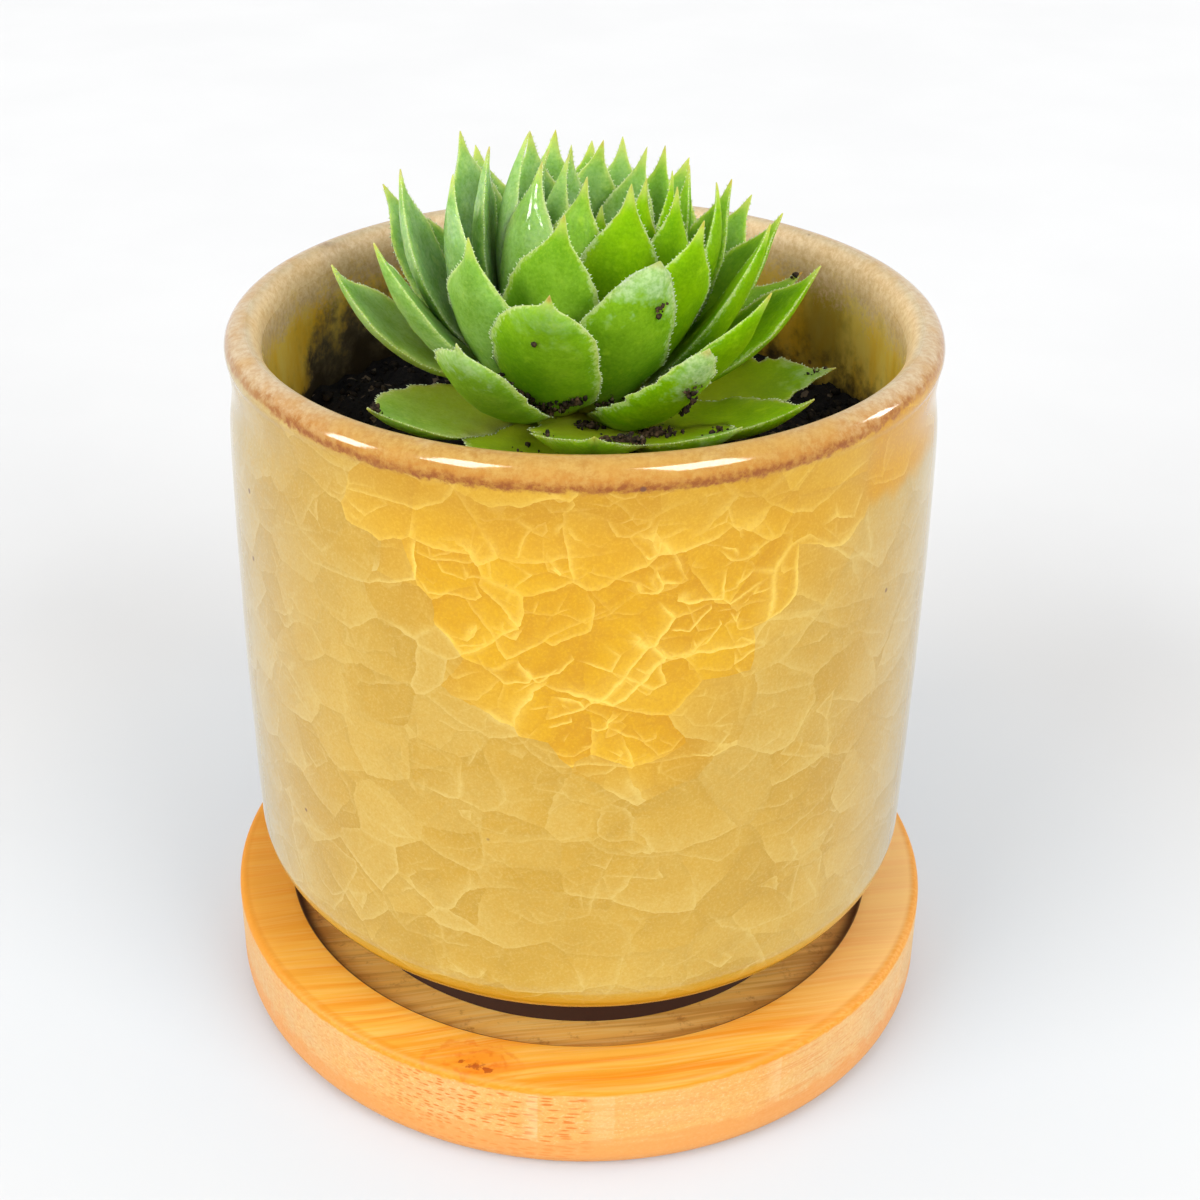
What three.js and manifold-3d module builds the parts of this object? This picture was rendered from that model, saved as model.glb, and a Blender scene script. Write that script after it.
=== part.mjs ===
// Potted houseleek: a round glazed pot on a bamboo saucer, filled with soil, that holds
// one rosette of pointed fleshy leaves on a short rooted stem.
// Millimetres, +Z up. The origin is the centre of the saucer's underside, -Y is the front.

import * as THREE from 'three';
import { mergeVertices } from 'three/addons/utils/BufferGeometryUtils.js';
import Module from 'manifold-3d';

// Saucer: a turned disc with a shallow round recess for the pot
const saucerRadius = 43.8;
const saucerHeight = 12.4;
const saucerFootRound = 2.6;
const saucerTopRound = 1.0;
const recessRadius = 36.8;
const recessDepth = 2.0;

// Pot: a cylinder with a round lower corner, a foot ring and a rounded rim
const potStand = saucerHeight - recessDepth;
const potHeight = 76.9;
const potRadius = 40.4;
const potTaper = 0.3;
const bulgeHeight = 46.0;
const bulgeTop = 62.0;
const bulgeFall = 0.05;
const shoulderHeight = 75.0;
const cornerReach = 20.8;
const cornerRise = 11.3;
const cornerFloor = 12.9;
const footRadius = 31.0;
const footWidth = 3.6;
const footRecess = 1.8;
const footOuterBevel = 0.4;
const footInnerBevel = 0.8;
const rimRadius = 40.0;
const rimTube = 2.2;
const rimUndercut = -25;
const rimDepth = 5.0;
const neckRadius = 39.5;
const neckDrop = 4.8;
const boreRadius = 35.8;
const potFloor = 18.0;
const innerCornerReach = 16.0;
const innerCornerRise = 9.0;
const drainRadius = 4.5;

// Soil: fills the pot to well below the rim, with a plain hole for the stem
const soilLevel = 70.0;
const soilGap = 0.3;
const drainPlugFloor = 13.2;
const moundHeight = 1.2;
const moundRadius = 14.0;
const soilRingCount = 9;

// Unevenness of the soil: a height, then radians per millimetre of X and of Y, and a phase
const soilWaves = [
  [0.35, 0.31, 0.27, 0.50],
  [0.35, 0.31, -0.27, 1.30],
  [0.35, 0.83, -0.61, 0],
  [0.30, 0.92, 0.74, 1.57],
];

// Stem: a short stock that tapers into a bundle of roots
const stemRadius = 4.5;
const rootTipRadius = 1.6;
const rootTipHeight = 36.0;
const rootRingStep = 6.0;
const stemGap = 0.4;
const rootLobes = 5;
const lobeDepth = 0.2;
const lobeFade = 12.0;
const lobeTwist = 4.0;
const stemHoleShares = [0.35, 1];

// Rosette: one spiral of leaves, counted from the heart outwards, on a thick crown
const leafCount = 61;
const budLeaves = 6;
const lostLeaves = [58, 59];
const spiralTurn = -137.508;
const spiralStart = 121;
const ageSpan = 58;
const crownTop = 88.2;
const crownDrop = 11.8;
const crownDropPower = 0.25;
const crownRadius = 9.0;
const crownFullAge = 0.77;
const crownFoot = 72.6;
const crownSkin = 0.4;
const crownFlare = 0.6;
const crownAges = [1, 0.7, 0.45, 0.25, 0.1, 0.02];
const heartShift = [1.5, -1.0];
const crownCentre = [0, 3.2];
const outerLean = [5.5, 9.5];
const heartLean = [-6.0, 10.0];

// Leaves: sizes in millimetres and angles in degrees, against an age that runs from 0 at the
// heart to about 1 at the edge
const heartLift = 84;
const liftFall = 74;
const liftPower = 2.15;
const budLength = 9.0;
const budLengthStep = 1.7;
const youngLength = 19.0;
const lengthGain = 5.7;
const fullLengthAge = 0.32;
const witherLoss = 3.2;
const witherAge = 0.6;
const youngWidth = 5.4;
const widthGain = 6.4;
const fullWidthAge = 0.55;
const widthPower = 0.8;
const widthSpread = 0.04;
const youngThickness = 1.9;
const thicknessGain = 0.9;
const fullThicknessAge = 0.5;
const leafCurl = 40;
const curlSpread = 5;
const twistSpread = 7;
const leafCup = 0.16;

// How far single leaves stand off the even spiral: turn and lift, in degrees
const leafHabits = {
  6: [4, -8], 11: [14, 0], 13: [10, -2], 15: [-10, 0], 17: [9, 0], 18: [9, 4],
  21: [0, 7], 23: [5, -2], 24: [11, 3], 28: [10, -2], 33: [10, -2], 34: [0, -4],
  36: [2, -3], 39: [-6, 0], 41: [12, 0], 42: [-5, -1], 45: [-8, -2], 46: [8, -8],
  49: [0, -7], 55: [2, -6], 57: [0, 15], 60: [0, 9],
};

// Shares of the length, with the leaf's width and thickness there
const leafStations = [
  [0.00, 0.54, 0.90],
  [0.20, 0.83, 1.00],
  [0.42, 1.00, 0.95],
  [0.63, 0.92, 0.80],
  [0.79, 0.62, 0.60],
  [0.90, 0.25, 0.42],
];

// Corners of a leaf's section: across in half widths, and through in half thicknesses
const leafSection = [
  [-1, 0], [-0.62, -0.72], [0, -1.15], [0.62, -0.72],
  [1, 0], [0.58, 0.62], [0, 0.8], [-0.58, 0.62],
];

// Facets round each turned piece, and steps along each rounded edge
const potFacets = 48;
const saucerFacets = 48;
const soilFacets = 36;
const stemFacets = 20;
const crownFacets = 12;
const saucerFootSteps = 4;
const saucerTopSteps = 2;
const cornerSteps = 6;
const innerCornerSteps = 4;
const rimSteps = 8;

const wasm = await Module();
wasm.setup();

const radians = THREE.MathUtils.degToRad;
const degrees = THREE.MathUtils.radToDeg;

// A surface with shared vertices and without faces that have shrunk to a line
function weld(geometry) {
  geometry.deleteAttribute('normal');
  geometry.deleteAttribute('uv');
  const merged = mergeVertices(geometry, 1e-4);
  const index = merged.index.array;
  const kept = [];
  for (let i = 0; i < index.length; i += 3) {
    const [a, b, c] = [index[i], index[i + 1], index[i + 2]];
    if (a !== b && b !== c && c !== a) kept.push(a, b, c);
  }
  merged.setIndex(kept);
  return merged;
}

// A body turned about Z from [radius, height] pairs that run anticlockwise round its section
function turned(profile, facets) {
  const points = profile.map(([radius, height]) => new THREE.Vector2(radius, height));
  const geometry = new THREE.LatheGeometry(points, facets);
  geometry.rotateX(Math.PI / 2);
  return weld(geometry);
}

// A closed body through rings of equally many points that turn anticlockwise seen from its end
function skinned(rings, start, end) {
  const sides = rings[0].length;
  const points = [...rings.flat(), start, end];
  const startIndex = points.length - 2;
  const endIndex = points.length - 1;
  const last = (rings.length - 1) * sides;
  const faces = [];
  for (let j = 0; j < sides; j += 1) {
    const next = (j + 1) % sides;
    faces.push(startIndex, next, j);
    for (let i = 0; i + 1 < rings.length; i += 1) {
      const low = i * sides;
      const high = low + sides;
      faces.push(low + j, low + next, high + next);
      faces.push(low + j, high + next, high + j);
    }
    faces.push(last + j, last + next, endIndex);
  }
  const geometry = new THREE.BufferGeometry().setFromPoints(points);
  geometry.setIndex(faces);
  return weld(geometry);
}

// Points along an arc of an ellipse, as [radius, height] pairs, between two angles in degrees
function arc(centre, reach, rise, from, to, steps) {
  const points = [];
  for (let i = 0; i <= steps; i += 1) {
    const angle = radians(from + (to - from) * i / steps);
    points.push([centre[0] + reach * Math.cos(angle), centre[1] + rise * Math.sin(angle)]);
  }
  return points;
}

// A level circle of points, with its radius changed round the circle by an optional shape
function circle(centre, radius, height, facets, shape = () => 1) {
  const points = [];
  for (let i = 0; i < facets; i += 1) {
    const angle = 2 * Math.PI * i / facets;
    const reach = radius * shape(angle);
    points.push(new THREE.Vector3(
      centre[0] + reach * Math.cos(angle),
      centre[1] + reach * Math.sin(angle),
      height,
    ));
  }
  return points;
}

function toSolid(geometry) {
  const vertProperties = new Float32Array(geometry.attributes.position.array);
  const triVerts = new Uint32Array(geometry.index.array);
  return new wasm.Manifold(new wasm.Mesh({ numProp: 3, vertProperties, triVerts }));
}

function fromSolid(solid) {
  const mesh = solid.getMesh();
  const geometry = new THREE.BufferGeometry();
  geometry.setAttribute('position', new THREE.BufferAttribute(mesh.vertProperties, 3));
  geometry.setIndex([...mesh.triVerts]);
  return geometry;
}

// The even random draw of a leaf, from -1 to 1, the same on every run
function draw(leaf, kind) {
  const wave = Math.sin(leaf * 12.9898 + kind * 78.233) * 43758.5453;
  return 2 * (wave - Math.floor(wave)) - 1;
}

function makeSaucer() {
  const foot = [saucerRadius - saucerFootRound, saucerFootRound];
  const shoulder = [saucerRadius - saucerTopRound, saucerHeight - saucerTopRound];
  const profile = [
    [0, 0],
    ...arc(foot, saucerFootRound, saucerFootRound, -90, 0, saucerFootSteps),
    ...arc(shoulder, saucerTopRound, saucerTopRound, 0, 90, saucerTopSteps),
    [recessRadius, saucerHeight],
    [recessRadius, potStand],
    [0, potStand],
  ];
  return turned(profile, saucerFacets);
}

function makePot() {
  const corner = [potRadius - potTaper - cornerReach, cornerFloor + cornerRise];
  const footAngle = -degrees(Math.acos((footRadius - corner[0]) / cornerReach));
  const rim = [rimRadius - rimTube, potStand + potHeight - rimTube];
  const innerCorner = [boreRadius - innerCornerReach, potFloor + innerCornerRise];
  const footInside = footRadius - footWidth;
  const profile = [
    [drainRadius, potStand + footRecess],
    [footInside - footInnerBevel, potStand + footRecess],
    [footInside, potStand],
    [footRadius - footOuterBevel, potStand],
    ...arc(corner, cornerReach, cornerRise, footAngle, 0, cornerSteps),
    [potRadius, bulgeHeight],
    [potRadius - bulgeFall, bulgeTop],
    [potRadius - potTaper, shoulderHeight],
    [neckRadius, rim[1] - neckDrop],
    ...arc(rim, rimTube, rimTube, rimUndercut, 180, rimSteps),
    [boreRadius, rim[1] - rimDepth],
    ...arc(innerCorner, innerCornerReach, innerCornerRise, 0, -90, innerCornerSteps),
    [drainRadius, potFloor],
    [drainRadius, potStand + footRecess],
  ];
  return turned(profile, potFacets);
}

// The uneven surface of the soil, in millimetres over its level
function soilRelief(x, y) {
  const fromStem = Math.hypot(x - stemCentre[0], y - stemCentre[1]);
  let relief = moundHeight * Math.exp(-((fromStem / moundRadius) ** 2));
  for (const [height, alongX, alongY, phase] of soilWaves) {
    relief += height * Math.sin(alongX * x + alongY * y + phase);
  }
  return relief;
}

function makeSoil() {
  const wall = boreRadius - soilGap;
  const plug = drainRadius - soilGap;
  const cornerCentre = [wall - innerCornerReach, potFloor + innerCornerRise];
  const profile = [
    [plug, drainPlugFloor],
    [plug, potFloor],
    ...arc(cornerCentre, innerCornerReach, innerCornerRise, -90, 0, innerCornerSteps),
  ];
  const rings = profile.map(([radius, height]) => circle([0, 0], radius, height, soilFacets));

  // The top: level rings that close in from the wall to the stem
  const hole = stemRadius + stemGap;
  for (let i = 0; i <= soilRingCount; i += 1) {
    const inward = i / soilRingCount;
    const centre = stemCentre.map((value) => value * inward);
    const ring = circle(centre, wall + (hole - wall) * inward, soilLevel, soilFacets);
    for (const point of ring) point.z += soilRelief(point.x, point.y);
    rings.push(ring);
  }

  const holeFloor = rootTipHeight - stemGap;
  for (const share of stemHoleShares) {
    const height = soilLevel + (holeFloor - soilLevel) * share;
    rings.push(circle(stemCentre, stemRadiusAt(height) + stemGap, height, soilFacets));
  }
  const start = new THREE.Vector3(0, 0, drainPlugFloor);
  const end = new THREE.Vector3(...stemCentre, holeFloor);
  return skinned(rings, start, end);
}

// The stock keeps its width above the soil and narrows evenly below it
function stemRadiusAt(height) {
  const up = THREE.MathUtils.clamp((height - rootTipHeight) / (soilLevel - rootTipHeight), 0, 1);
  return rootTipRadius + (stemRadius - rootTipRadius) * up;
}

function makeStem() {
  const heights = [];
  for (let height = rootTipHeight; height < soilLevel; height += rootRingStep) {
    heights.push(height);
  }
  heights.push(soilLevel, crownFoot);
  const rings = heights.map((height) => {
    const depth = THREE.MathUtils.clamp((soilLevel - height) / lobeFade, 0, 1);
    const twist = radians(lobeTwist * (soilLevel - height));
    const lobes = (angle) => 1 - lobeDepth * depth * (1 + Math.cos(rootLobes * angle + twist)) / 2;
    return circle(stemCentre, stemRadiusAt(height), height, stemFacets, lobes);
  });
  const start = new THREE.Vector3(...stemCentre, rootTipHeight);
  const end = new THREE.Vector3(...stemCentre, crownFoot);
  return skinned(rings, start, end);
}

// The lean of the rosette, which changes from its outer leaves to its heart
function rosetteFrame(age) {
  const inner = 1 - Math.min(age, 1);
  const lean = outerLean.map((angle, i) => radians(angle + (heartLean[i] - angle) * inner));
  const tipForward = new THREE.Matrix4().makeRotationX(lean[0]);
  const tipSideways = new THREE.Matrix4().makeRotationY(lean[1]);
  const place = new THREE.Matrix4().makeTranslation(
    crownCentre[0] + heartShift[0] * inner,
    crownCentre[1] + heartShift[1] * inner,
    crownTop,
  );
  return place.multiply(tipSideways).multiply(tipForward);
}

// The point of the crown, as [radius, height], where leaves of an age grow
function leafRoot(age) {
  const outward = Math.min(age / crownFullAge, 1);
  return [crownRadius * outward * (2 - outward), -crownDrop * age ** crownDropPower];
}

// Everything about one leaf that follows from its place in the spiral
function leafForm(leaf) {
  const age = (leaf + 0.5) / ageSpan;
  const [turn, lift] = leafHabits[leaf] ?? [0, 0];
  const bud = budLength + budLengthStep * leaf;
  const grown = youngLength + lengthGain * Math.sqrt(Math.min(1, age / fullLengthAge));
  const withering = Math.max(0, (age - witherAge) / (1 - witherAge));
  const broadening = Math.min(1, age / fullWidthAge) ** widthPower;
  const width = youngWidth + widthGain * broadening;
  return {
    age,
    root: leafRoot(age),
    azimuth: radians(spiralStart + (leaf - budLeaves) * spiralTurn + turn),
    lift: radians(heartLift - liftFall * age ** liftPower + lift),
    length: (leaf < budLeaves ? bud : grown) - witherLoss * withering ** 2,
    width: width * (1 + widthSpread * draw(leaf, 1)),
    thickness: youngThickness + thicknessGain * Math.min(1, age / fullThicknessAge),
    curl: radians(leafCurl + curlSpread * draw(leaf, 2)),
    twist: radians(twistSpread * draw(leaf, 3)),
  };
}

// One leaf: its midrib is an arc that starts low and curls up, and its section is cupped
function makeLeaf(form) {
  const path = form.length * (form.curl / 2) / Math.sin(form.curl / 2);
  const first = form.lift - form.curl / 2;
  const outward = new THREE.Vector3(Math.cos(form.azimuth), Math.sin(form.azimuth), 0);
  const across = new THREE.Vector3(-Math.sin(form.azimuth), Math.cos(form.azimuth), 0);
  const up = new THREE.Vector3(0, 0, 1);
  const tilted = (reach, rise) => outward.clone().multiplyScalar(reach).addScaledVector(up, rise);

  const midrib = (share) => {
    const angle = first + form.curl * share;
    const reach = form.root[0] + path * (Math.sin(angle) - Math.sin(first)) / form.curl;
    const rise = form.root[1] - path * (Math.cos(angle) - Math.cos(first)) / form.curl;
    return tilted(reach, rise);
  };

  const rings = leafStations.map(([share, broad, thick]) => {
    const angle = first + form.curl * share;
    const along = tilted(Math.cos(angle), Math.sin(angle));
    const inner = tilted(-Math.sin(angle), Math.cos(angle));
    const side = across.clone().applyAxisAngle(along, form.twist * share);
    inner.applyAxisAngle(along, form.twist * share);
    const halfWidth = form.width * broad / 2;
    const halfThickness = form.thickness * thick / 2;
    return leafSection.map(([sideways, through]) => {
      const lifted = halfThickness * through + halfWidth * leafCup * sideways ** 2;
      return midrib(share).addScaledVector(side, halfWidth * sideways).addScaledVector(inner, lifted);
    });
  });
  const geometry = skinned(rings, midrib(0), midrib(1));
  return geometry.applyMatrix4(rosetteFrame(form.age));
}

// The thick stock inside the rosette that every leaf grows from
function makeCrown() {
  const rings = crownAges.map((age) => {
    const [radius, height] = leafRoot(age);
    const ring = circle([0, 0], radius + crownSkin, height + crownSkin, crownFacets);
    return ring.map((point) => point.applyMatrix4(rosetteFrame(age)));
  });
  const foot = circle(stemCentre, stemRadius + crownFlare, crownFoot, crownFacets);
  const top = leafRoot(crownAges.at(-1))[1] + 2 * crownSkin;
  const start = new THREE.Vector3(...stemCentre, crownFoot);
  const end = new THREE.Vector3(0, 0, top).applyMatrix4(rosetteFrame(0));
  return skinned([foot, ...rings], start, end);
}

function makeRosette() {
  const solids = [toSolid(makeCrown())];
  for (let leaf = 0; leaf < leafCount; leaf += 1) {
    if (lostLeaves.includes(leaf)) continue;
    solids.push(toSolid(makeLeaf(leafForm(leaf))));
  }
  const joined = wasm.Manifold.union(solids);
  // The largest body is kept: it has no sealed hollows and no loose scraps
  const bodies = joined.decompose();
  bodies.sort((a, b) => b.volume() - a.volume());
  return fromSolid(bodies[0]);
}

// The stem stands under the middle of the leaning crown's foot
const crownBase = new THREE.Vector3(0, 0, leafRoot(1)[1]).applyMatrix4(rosetteFrame(1));
const stemCentre = [crownBase.x, crownBase.y];

const finishes = {
  saucer: { color: 0xe8a95c, roughness: 0.6, metalness: 0 },
  pot: { color: 0xd2a83f, roughness: 0.15, metalness: 0 },
  soil: { color: 0x1b1512, roughness: 1, metalness: 0 },
  stem: { color: 0x6b4a2e, roughness: 0.9, metalness: 0 },
  rosette: { color: 0x6fae2b, roughness: 0.45, metalness: 0 },
};

const makers = {
  saucer: makeSaucer,
  pot: makePot,
  soil: makeSoil,
  stem: makeStem,
  rosette: makeRosette,
};

const model = new THREE.Group();
for (const [name, make] of Object.entries(makers)) {
  const mesh = new THREE.Mesh(make(), new THREE.MeshStandardMaterial(finishes[name]));
  mesh.name = name;
  model.add(mesh);
}

export default model;
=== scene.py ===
import math
import random

import bpy
import numpy as np
from mathutils import Matrix, Vector, noise


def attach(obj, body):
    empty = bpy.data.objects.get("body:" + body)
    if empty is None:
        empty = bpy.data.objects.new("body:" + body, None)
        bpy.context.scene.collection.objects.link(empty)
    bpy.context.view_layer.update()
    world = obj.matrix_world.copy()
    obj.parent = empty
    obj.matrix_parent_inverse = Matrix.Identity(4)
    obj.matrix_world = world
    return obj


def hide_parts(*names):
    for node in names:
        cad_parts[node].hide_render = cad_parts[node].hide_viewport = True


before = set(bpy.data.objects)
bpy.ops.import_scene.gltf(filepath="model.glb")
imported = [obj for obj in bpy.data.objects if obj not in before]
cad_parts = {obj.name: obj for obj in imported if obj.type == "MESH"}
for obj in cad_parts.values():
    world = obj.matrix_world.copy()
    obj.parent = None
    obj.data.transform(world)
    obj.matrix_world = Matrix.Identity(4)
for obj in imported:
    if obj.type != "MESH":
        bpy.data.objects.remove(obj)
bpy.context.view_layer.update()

# Lengths are in millimetres, with the names and values of the part's solids, and angles in
# degrees. The meshes are made in metres, which is the frame's unit.
MM = 0.001

SAUCER_RADIUS = 43.8
SAUCER_HEIGHT = 12.4
SAUCER_FOOT_ROUND = 2.6
SAUCER_TOP_ROUND = 1.0
RECESS_RADIUS = 36.8
RECESS_DEPTH = 2.0
RECESS_EASE = 0.25
GRAIN_TURN = 12

POT_STAND = SAUCER_HEIGHT - RECESS_DEPTH
POT_HEIGHT = 76.9
POT_RADIUS = 40.4
POT_TAPER = 0.3
BULGE_HEIGHT = 46
BULGE_TOP = 62
BULGE_FALL = 0.05
SHOULDER_HEIGHT = 75
CORNER_REACH = 20.8
CORNER_RISE = 11.3
CORNER_FLOOR = 12.9
FOOT_RADIUS = 31.0
FOOT_WIDTH = 3.6
FOOT_RECESS = 1.8
RIM_RADIUS = 40.0
RIM_TUBE = 2.2
RIM_UNDERCUT = 25
LIP_EASE = 4.2
NECK_RADIUS = 39.5
NECK_DROP = 4.8
BORE_RADIUS = 35.8
POT_FLOOR = 18.0
INNER_CORNER_REACH = 16.0
INNER_CORNER_RISE = 9.0
DRAIN_RADIUS = 4.5
# The faint waves in the pot's wall: their height and size
WALL_WAVE = 0.05
WAVE_SIZE = 11

SOIL_LEVEL = 70.0
SOIL_GAP = 0.3
DRAIN_PLUG_FLOOR = 13.2
MOUND_HEIGHT = 1.2
MOUND_RADIUS = 14.0
# Waves in the soil's surface: height, turn for each millimetre of x and of y, and start
SOIL_WAVES = [
    (0.35, 0.31, 0.27, 0.50), (0.35, 0.31, -0.27, 1.30),
    (0.35, 0.83, -0.61, 0.00), (0.30, 0.92, 0.74, 1.57),
]
# The size and height of the lumps in the soil
SOIL_LUMPS = ((4.5, 0.9), (2.0, 0.6), (0.9, 0.35))

STEM_RADIUS = 4.5
ROOT_TIP_RADIUS = 1.6
ROOT_TIP_HEIGHT = 36.0
STEM_GAP = 0.4
ROOT_LOBES = 5
LOBE_DEPTH = 0.2
LOBE_FADE = 12.0
LOBE_TWIST = 4.0

LEAF_COUNT = 61
BUD_LEAVES = 6
LOST_LEAVES = (58, 59)
SPIRAL_TURN = -137.508
SPIRAL_START = 121
AGE_SPAN = 58
CROWN_TOP = 88.2
CROWN_DROP = 11.8
CROWN_DROP_POWER = 0.25
CROWN_RADIUS = 9.0
CROWN_FULL_AGE = 0.77
CROWN_FOOT = 72.6
CROWN_SKIN = 0.4
CROWN_FLARE = 0.6
CROWN_AGES = (1, 0.7, 0.45, 0.25, 0.1, 0.02)
HEART_SHIFT = (1.5, -1.0)
CROWN_CENTRE = (0.0, 3.2)
OUTER_LEAN = (5.5, 9.5)
HEART_LEAN = (-6.0, 10.0)

HEART_LIFT = 84
LIFT_FALL = 74
LIFT_POWER = 2.15
BUD_LENGTH = 9.0
BUD_LENGTH_STEP = 1.7
YOUNG_LENGTH = 19.0
LENGTH_GAIN = 5.7
FULL_LENGTH_AGE = 0.32
WITHER_LOSS = 3.2
WITHER_AGE = 0.6
YOUNG_WIDTH = 5.4
WIDTH_GAIN = 6.4
FULL_WIDTH_AGE = 0.55
WIDTH_POWER = 0.8
WIDTH_SPREAD = 0.04
YOUNG_THICKNESS = 1.9
THICKNESS_GAIN = 0.9
FULL_THICKNESS_AGE = 0.5
LEAF_CURL = 40
CURL_SPREAD = 5
TWIST_SPREAD = 7
LEAF_CUP = 0.16

# How far single leaves stand off the even spiral: turn and lift
LEAF_HABITS = {
    6: (4, -8), 11: (14, 0), 13: (10, -2), 15: (-10, 0), 17: (9, 0), 18: (9, 4),
    21: (0, 7), 23: (5, -2), 24: (11, 3), 28: (10, -2), 33: (10, -2), 34: (0, -4),
    36: (2, -3), 39: (-6, 0), 41: (12, 0), 42: (-5, -1), 45: (-8, -2), 46: (8, -8),
    49: (0, -7), 55: (2, -6), 57: (0, 15), 60: (0, 9),
}

# Shares of a leaf's length, with its width and thickness there
ROOT_STATIONS = [(0.00, 0.54, 0.90), (0.20, 0.83, 1.00), (0.42, 1.00, 0.95)]
LEAF_STATIONS = [
    *ROOT_STATIONS, (0.62, 0.92, 0.80), (0.73, 0.72, 0.64), (0.80, 0.48, 0.50), (0.85, 0.31, 0.40),
    (0.89, 0.19, 0.30), (0.94, 0.10, 0.20), (0.97, 0.06, 0.14), (1.00, 0.01, 0.06),
]
BLUNT_STATIONS = [
    *ROOT_STATIONS, (0.62, 0.98, 0.80), (0.76, 0.86, 0.62), (0.85, 0.64, 0.48),
    (0.895, 0.40, 0.38), (0.92, 0.20, 0.30), (0.945, 0.10, 0.22), (1.00, 0.01, 0.08),
]
FOLDED_STATIONS = [
    *ROOT_STATIONS, (0.63, 0.92, 0.80), (0.79, 0.70, 0.58), (0.88, 0.50, 0.44),
    (0.94, 0.33, 0.32), (0.97, 0.17, 0.22), (1.00, 0.02, 0.10),
]
# Leaves of another form: their stations, and factors for length and width
LEAF_FORMS = {
    16: (LEAF_STATIONS, 1.05, 1.0),
    32: (LEAF_STATIONS, 1.04, 1.0),
    31: (FOLDED_STATIONS, 0.93, 0.98),
    39: (BLUNT_STATIONS, 1.04, 1.04),
    44: (FOLDED_STATIONS, 1.0, 0.74),
    47: (BLUNT_STATIONS, 1.03, 0.98),
}
# Leaves with a torn margin, and how deep the tears are as a share of half the width
RAGGED_LEAVES = {
    44: 0.30, 46: 0.20, 47: 0.14, 49: 0.12, 52: 0.30, 54: 0.42, 55: 0.08, 57: 0.32, 60: 0.25,
}
# How far single tips bend sideways and inwards
TIP_BENDS = {
    9: (-0.3, -1.5), 11: (2.5, -0.1), 13: (0.4, -1.2), 16: (-2.5, 0.5), 17: (0.5, -0.8),
    18: (-0.5, -1.0), 19: (2.2, 0.1), 20: (0.8, 1.2), 21: (-1.2, 0.6), 24: (0.5, -0.4),
    25: (-1.2, 0.2), 26: (0.3, -1.1), 31: (1.8, 1.2), 34: (-0.5, 0.5), 37: (-1.9, -0.2),
    39: (0.4, -0.6), 41: (0.5, 0.0), 42: (-0.2, -0.2), 44: (0.8, 1.4), 45: (2.4, 0.8),
    46: (0.5, -0.6), 47: (-0.6, 0.3), 49: (0.2, 0.8), 50: (-0.3, 0.8), 54: (-0.9, 0.0),
}
# How far the other tips bend at most, and where on the leaf the bend starts
TIP_SPREAD = (1.1, 0.6)
TIP_START = 0.45
TIP_POWER = 2.4
# The uneven run of the margins: waves along a leaf, their height, and a shift for each leaf
SLOW_WAVE = (5, 0.09, 3.1)
FINE_WAVE = (23, 0.04, 5.3)
TORN_WAVE = (16, 1, 1.7)
MARGIN_SHIFT = 7.3
# The uneven skin: waves a millimetre, and their height
RIPPLE_WAVES = 0.45
RIPPLE_HEIGHT = 0.26
# The rings of a leaf's mesh crowd towards its tip
RING_POWER = 1.25
# The keel and the face of a leaf: height, and how flat each is across
KEEL = (1.15, 2.06)
FACE = (0.8, 2.7)


def draw(leaf, kind):
    """The even random draw of a leaf, from -1 to 1, the same on every run."""
    wave = math.sin(leaf * 12.9898 + kind * 78.233) * 43758.5453
    return 2 * (wave - math.floor(wave)) - 1


def smooth_curve(points, steps):
    """Points on a smooth curve through the given ones, with as many steps between each pair."""
    given = np.array(points, float)
    ends = np.vstack([2 * given[0] - given[1], given, 2 * given[-1] - given[-2]])
    t = np.arange(steps)[:, None] / steps
    curve = []
    for before, a, b, after in zip(ends, ends[1:], ends[2:], ends[3:]):
        bend = 2 * before - 5 * a + 4 * b - after
        turn = -before + 3 * a - 3 * b + after
        curve += [*(0.5 * (2 * a + (b - before) * t + bend * t * t + turn * t ** 3))]
    return [tuple(point) for point in [*curve, given[-1]]]


def arc(centre, reach, rise, start, end, steps):
    """Points along an arc of an ellipse, as (radius, height), between two angles in degrees."""
    angles = np.radians(np.linspace(start, end, steps + 1))
    return [(centre[0] + reach * math.cos(a), centre[1] + rise * math.sin(a)) for a in angles]


def straight(start, end, steps):
    """Points from start up to, and without, end."""
    return [tuple(point) for point in np.linspace(start, end, steps, endpoint=False)]


def ring_faces(rings, sides, closed):
    """Quads between rings of equally many points, the last joined to the first if closed."""
    faces = []
    for i in range(rings if closed else rings - 1):
        low, high = i * sides, (i + 1) % rings * sides
        for j in range(sides):
            following = (j + 1) % sides
            faces.append((low + j, low + following, high + following, high + j))
    return faces


def closed_body(points, sides, start, end):
    """A body of rings with a fan at each end."""
    first, last = len(points), len(points) + 1
    top = len(points) - sides
    faces = ring_faces(len(points) // sides, sides, False)
    for j in range(sides):
        following = (j + 1) % sides
        faces += [(first, following, j), (top + j, top + following, last)]
    return [*points, start, end], faces


def add_solid(points, faces, corners, sides):
    """Adds one more closed solid to the points and faces of a piece."""
    first = len(points)
    points += [tuple(corner) for corner in corners]
    faces += [tuple(first + index for index in side) for side in sides]


def new_object(name, data):
    thing = bpy.data.objects.new(name, data)
    bpy.context.scene.collection.objects.link(thing)
    return thing


def new_mesh(name, points, faces, material):
    mesh = bpy.data.meshes.new(name)
    mesh.from_pydata((np.asarray(points, float) * MM).tolist(), [], faces)
    mesh.materials.append(material)
    return mesh


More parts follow.
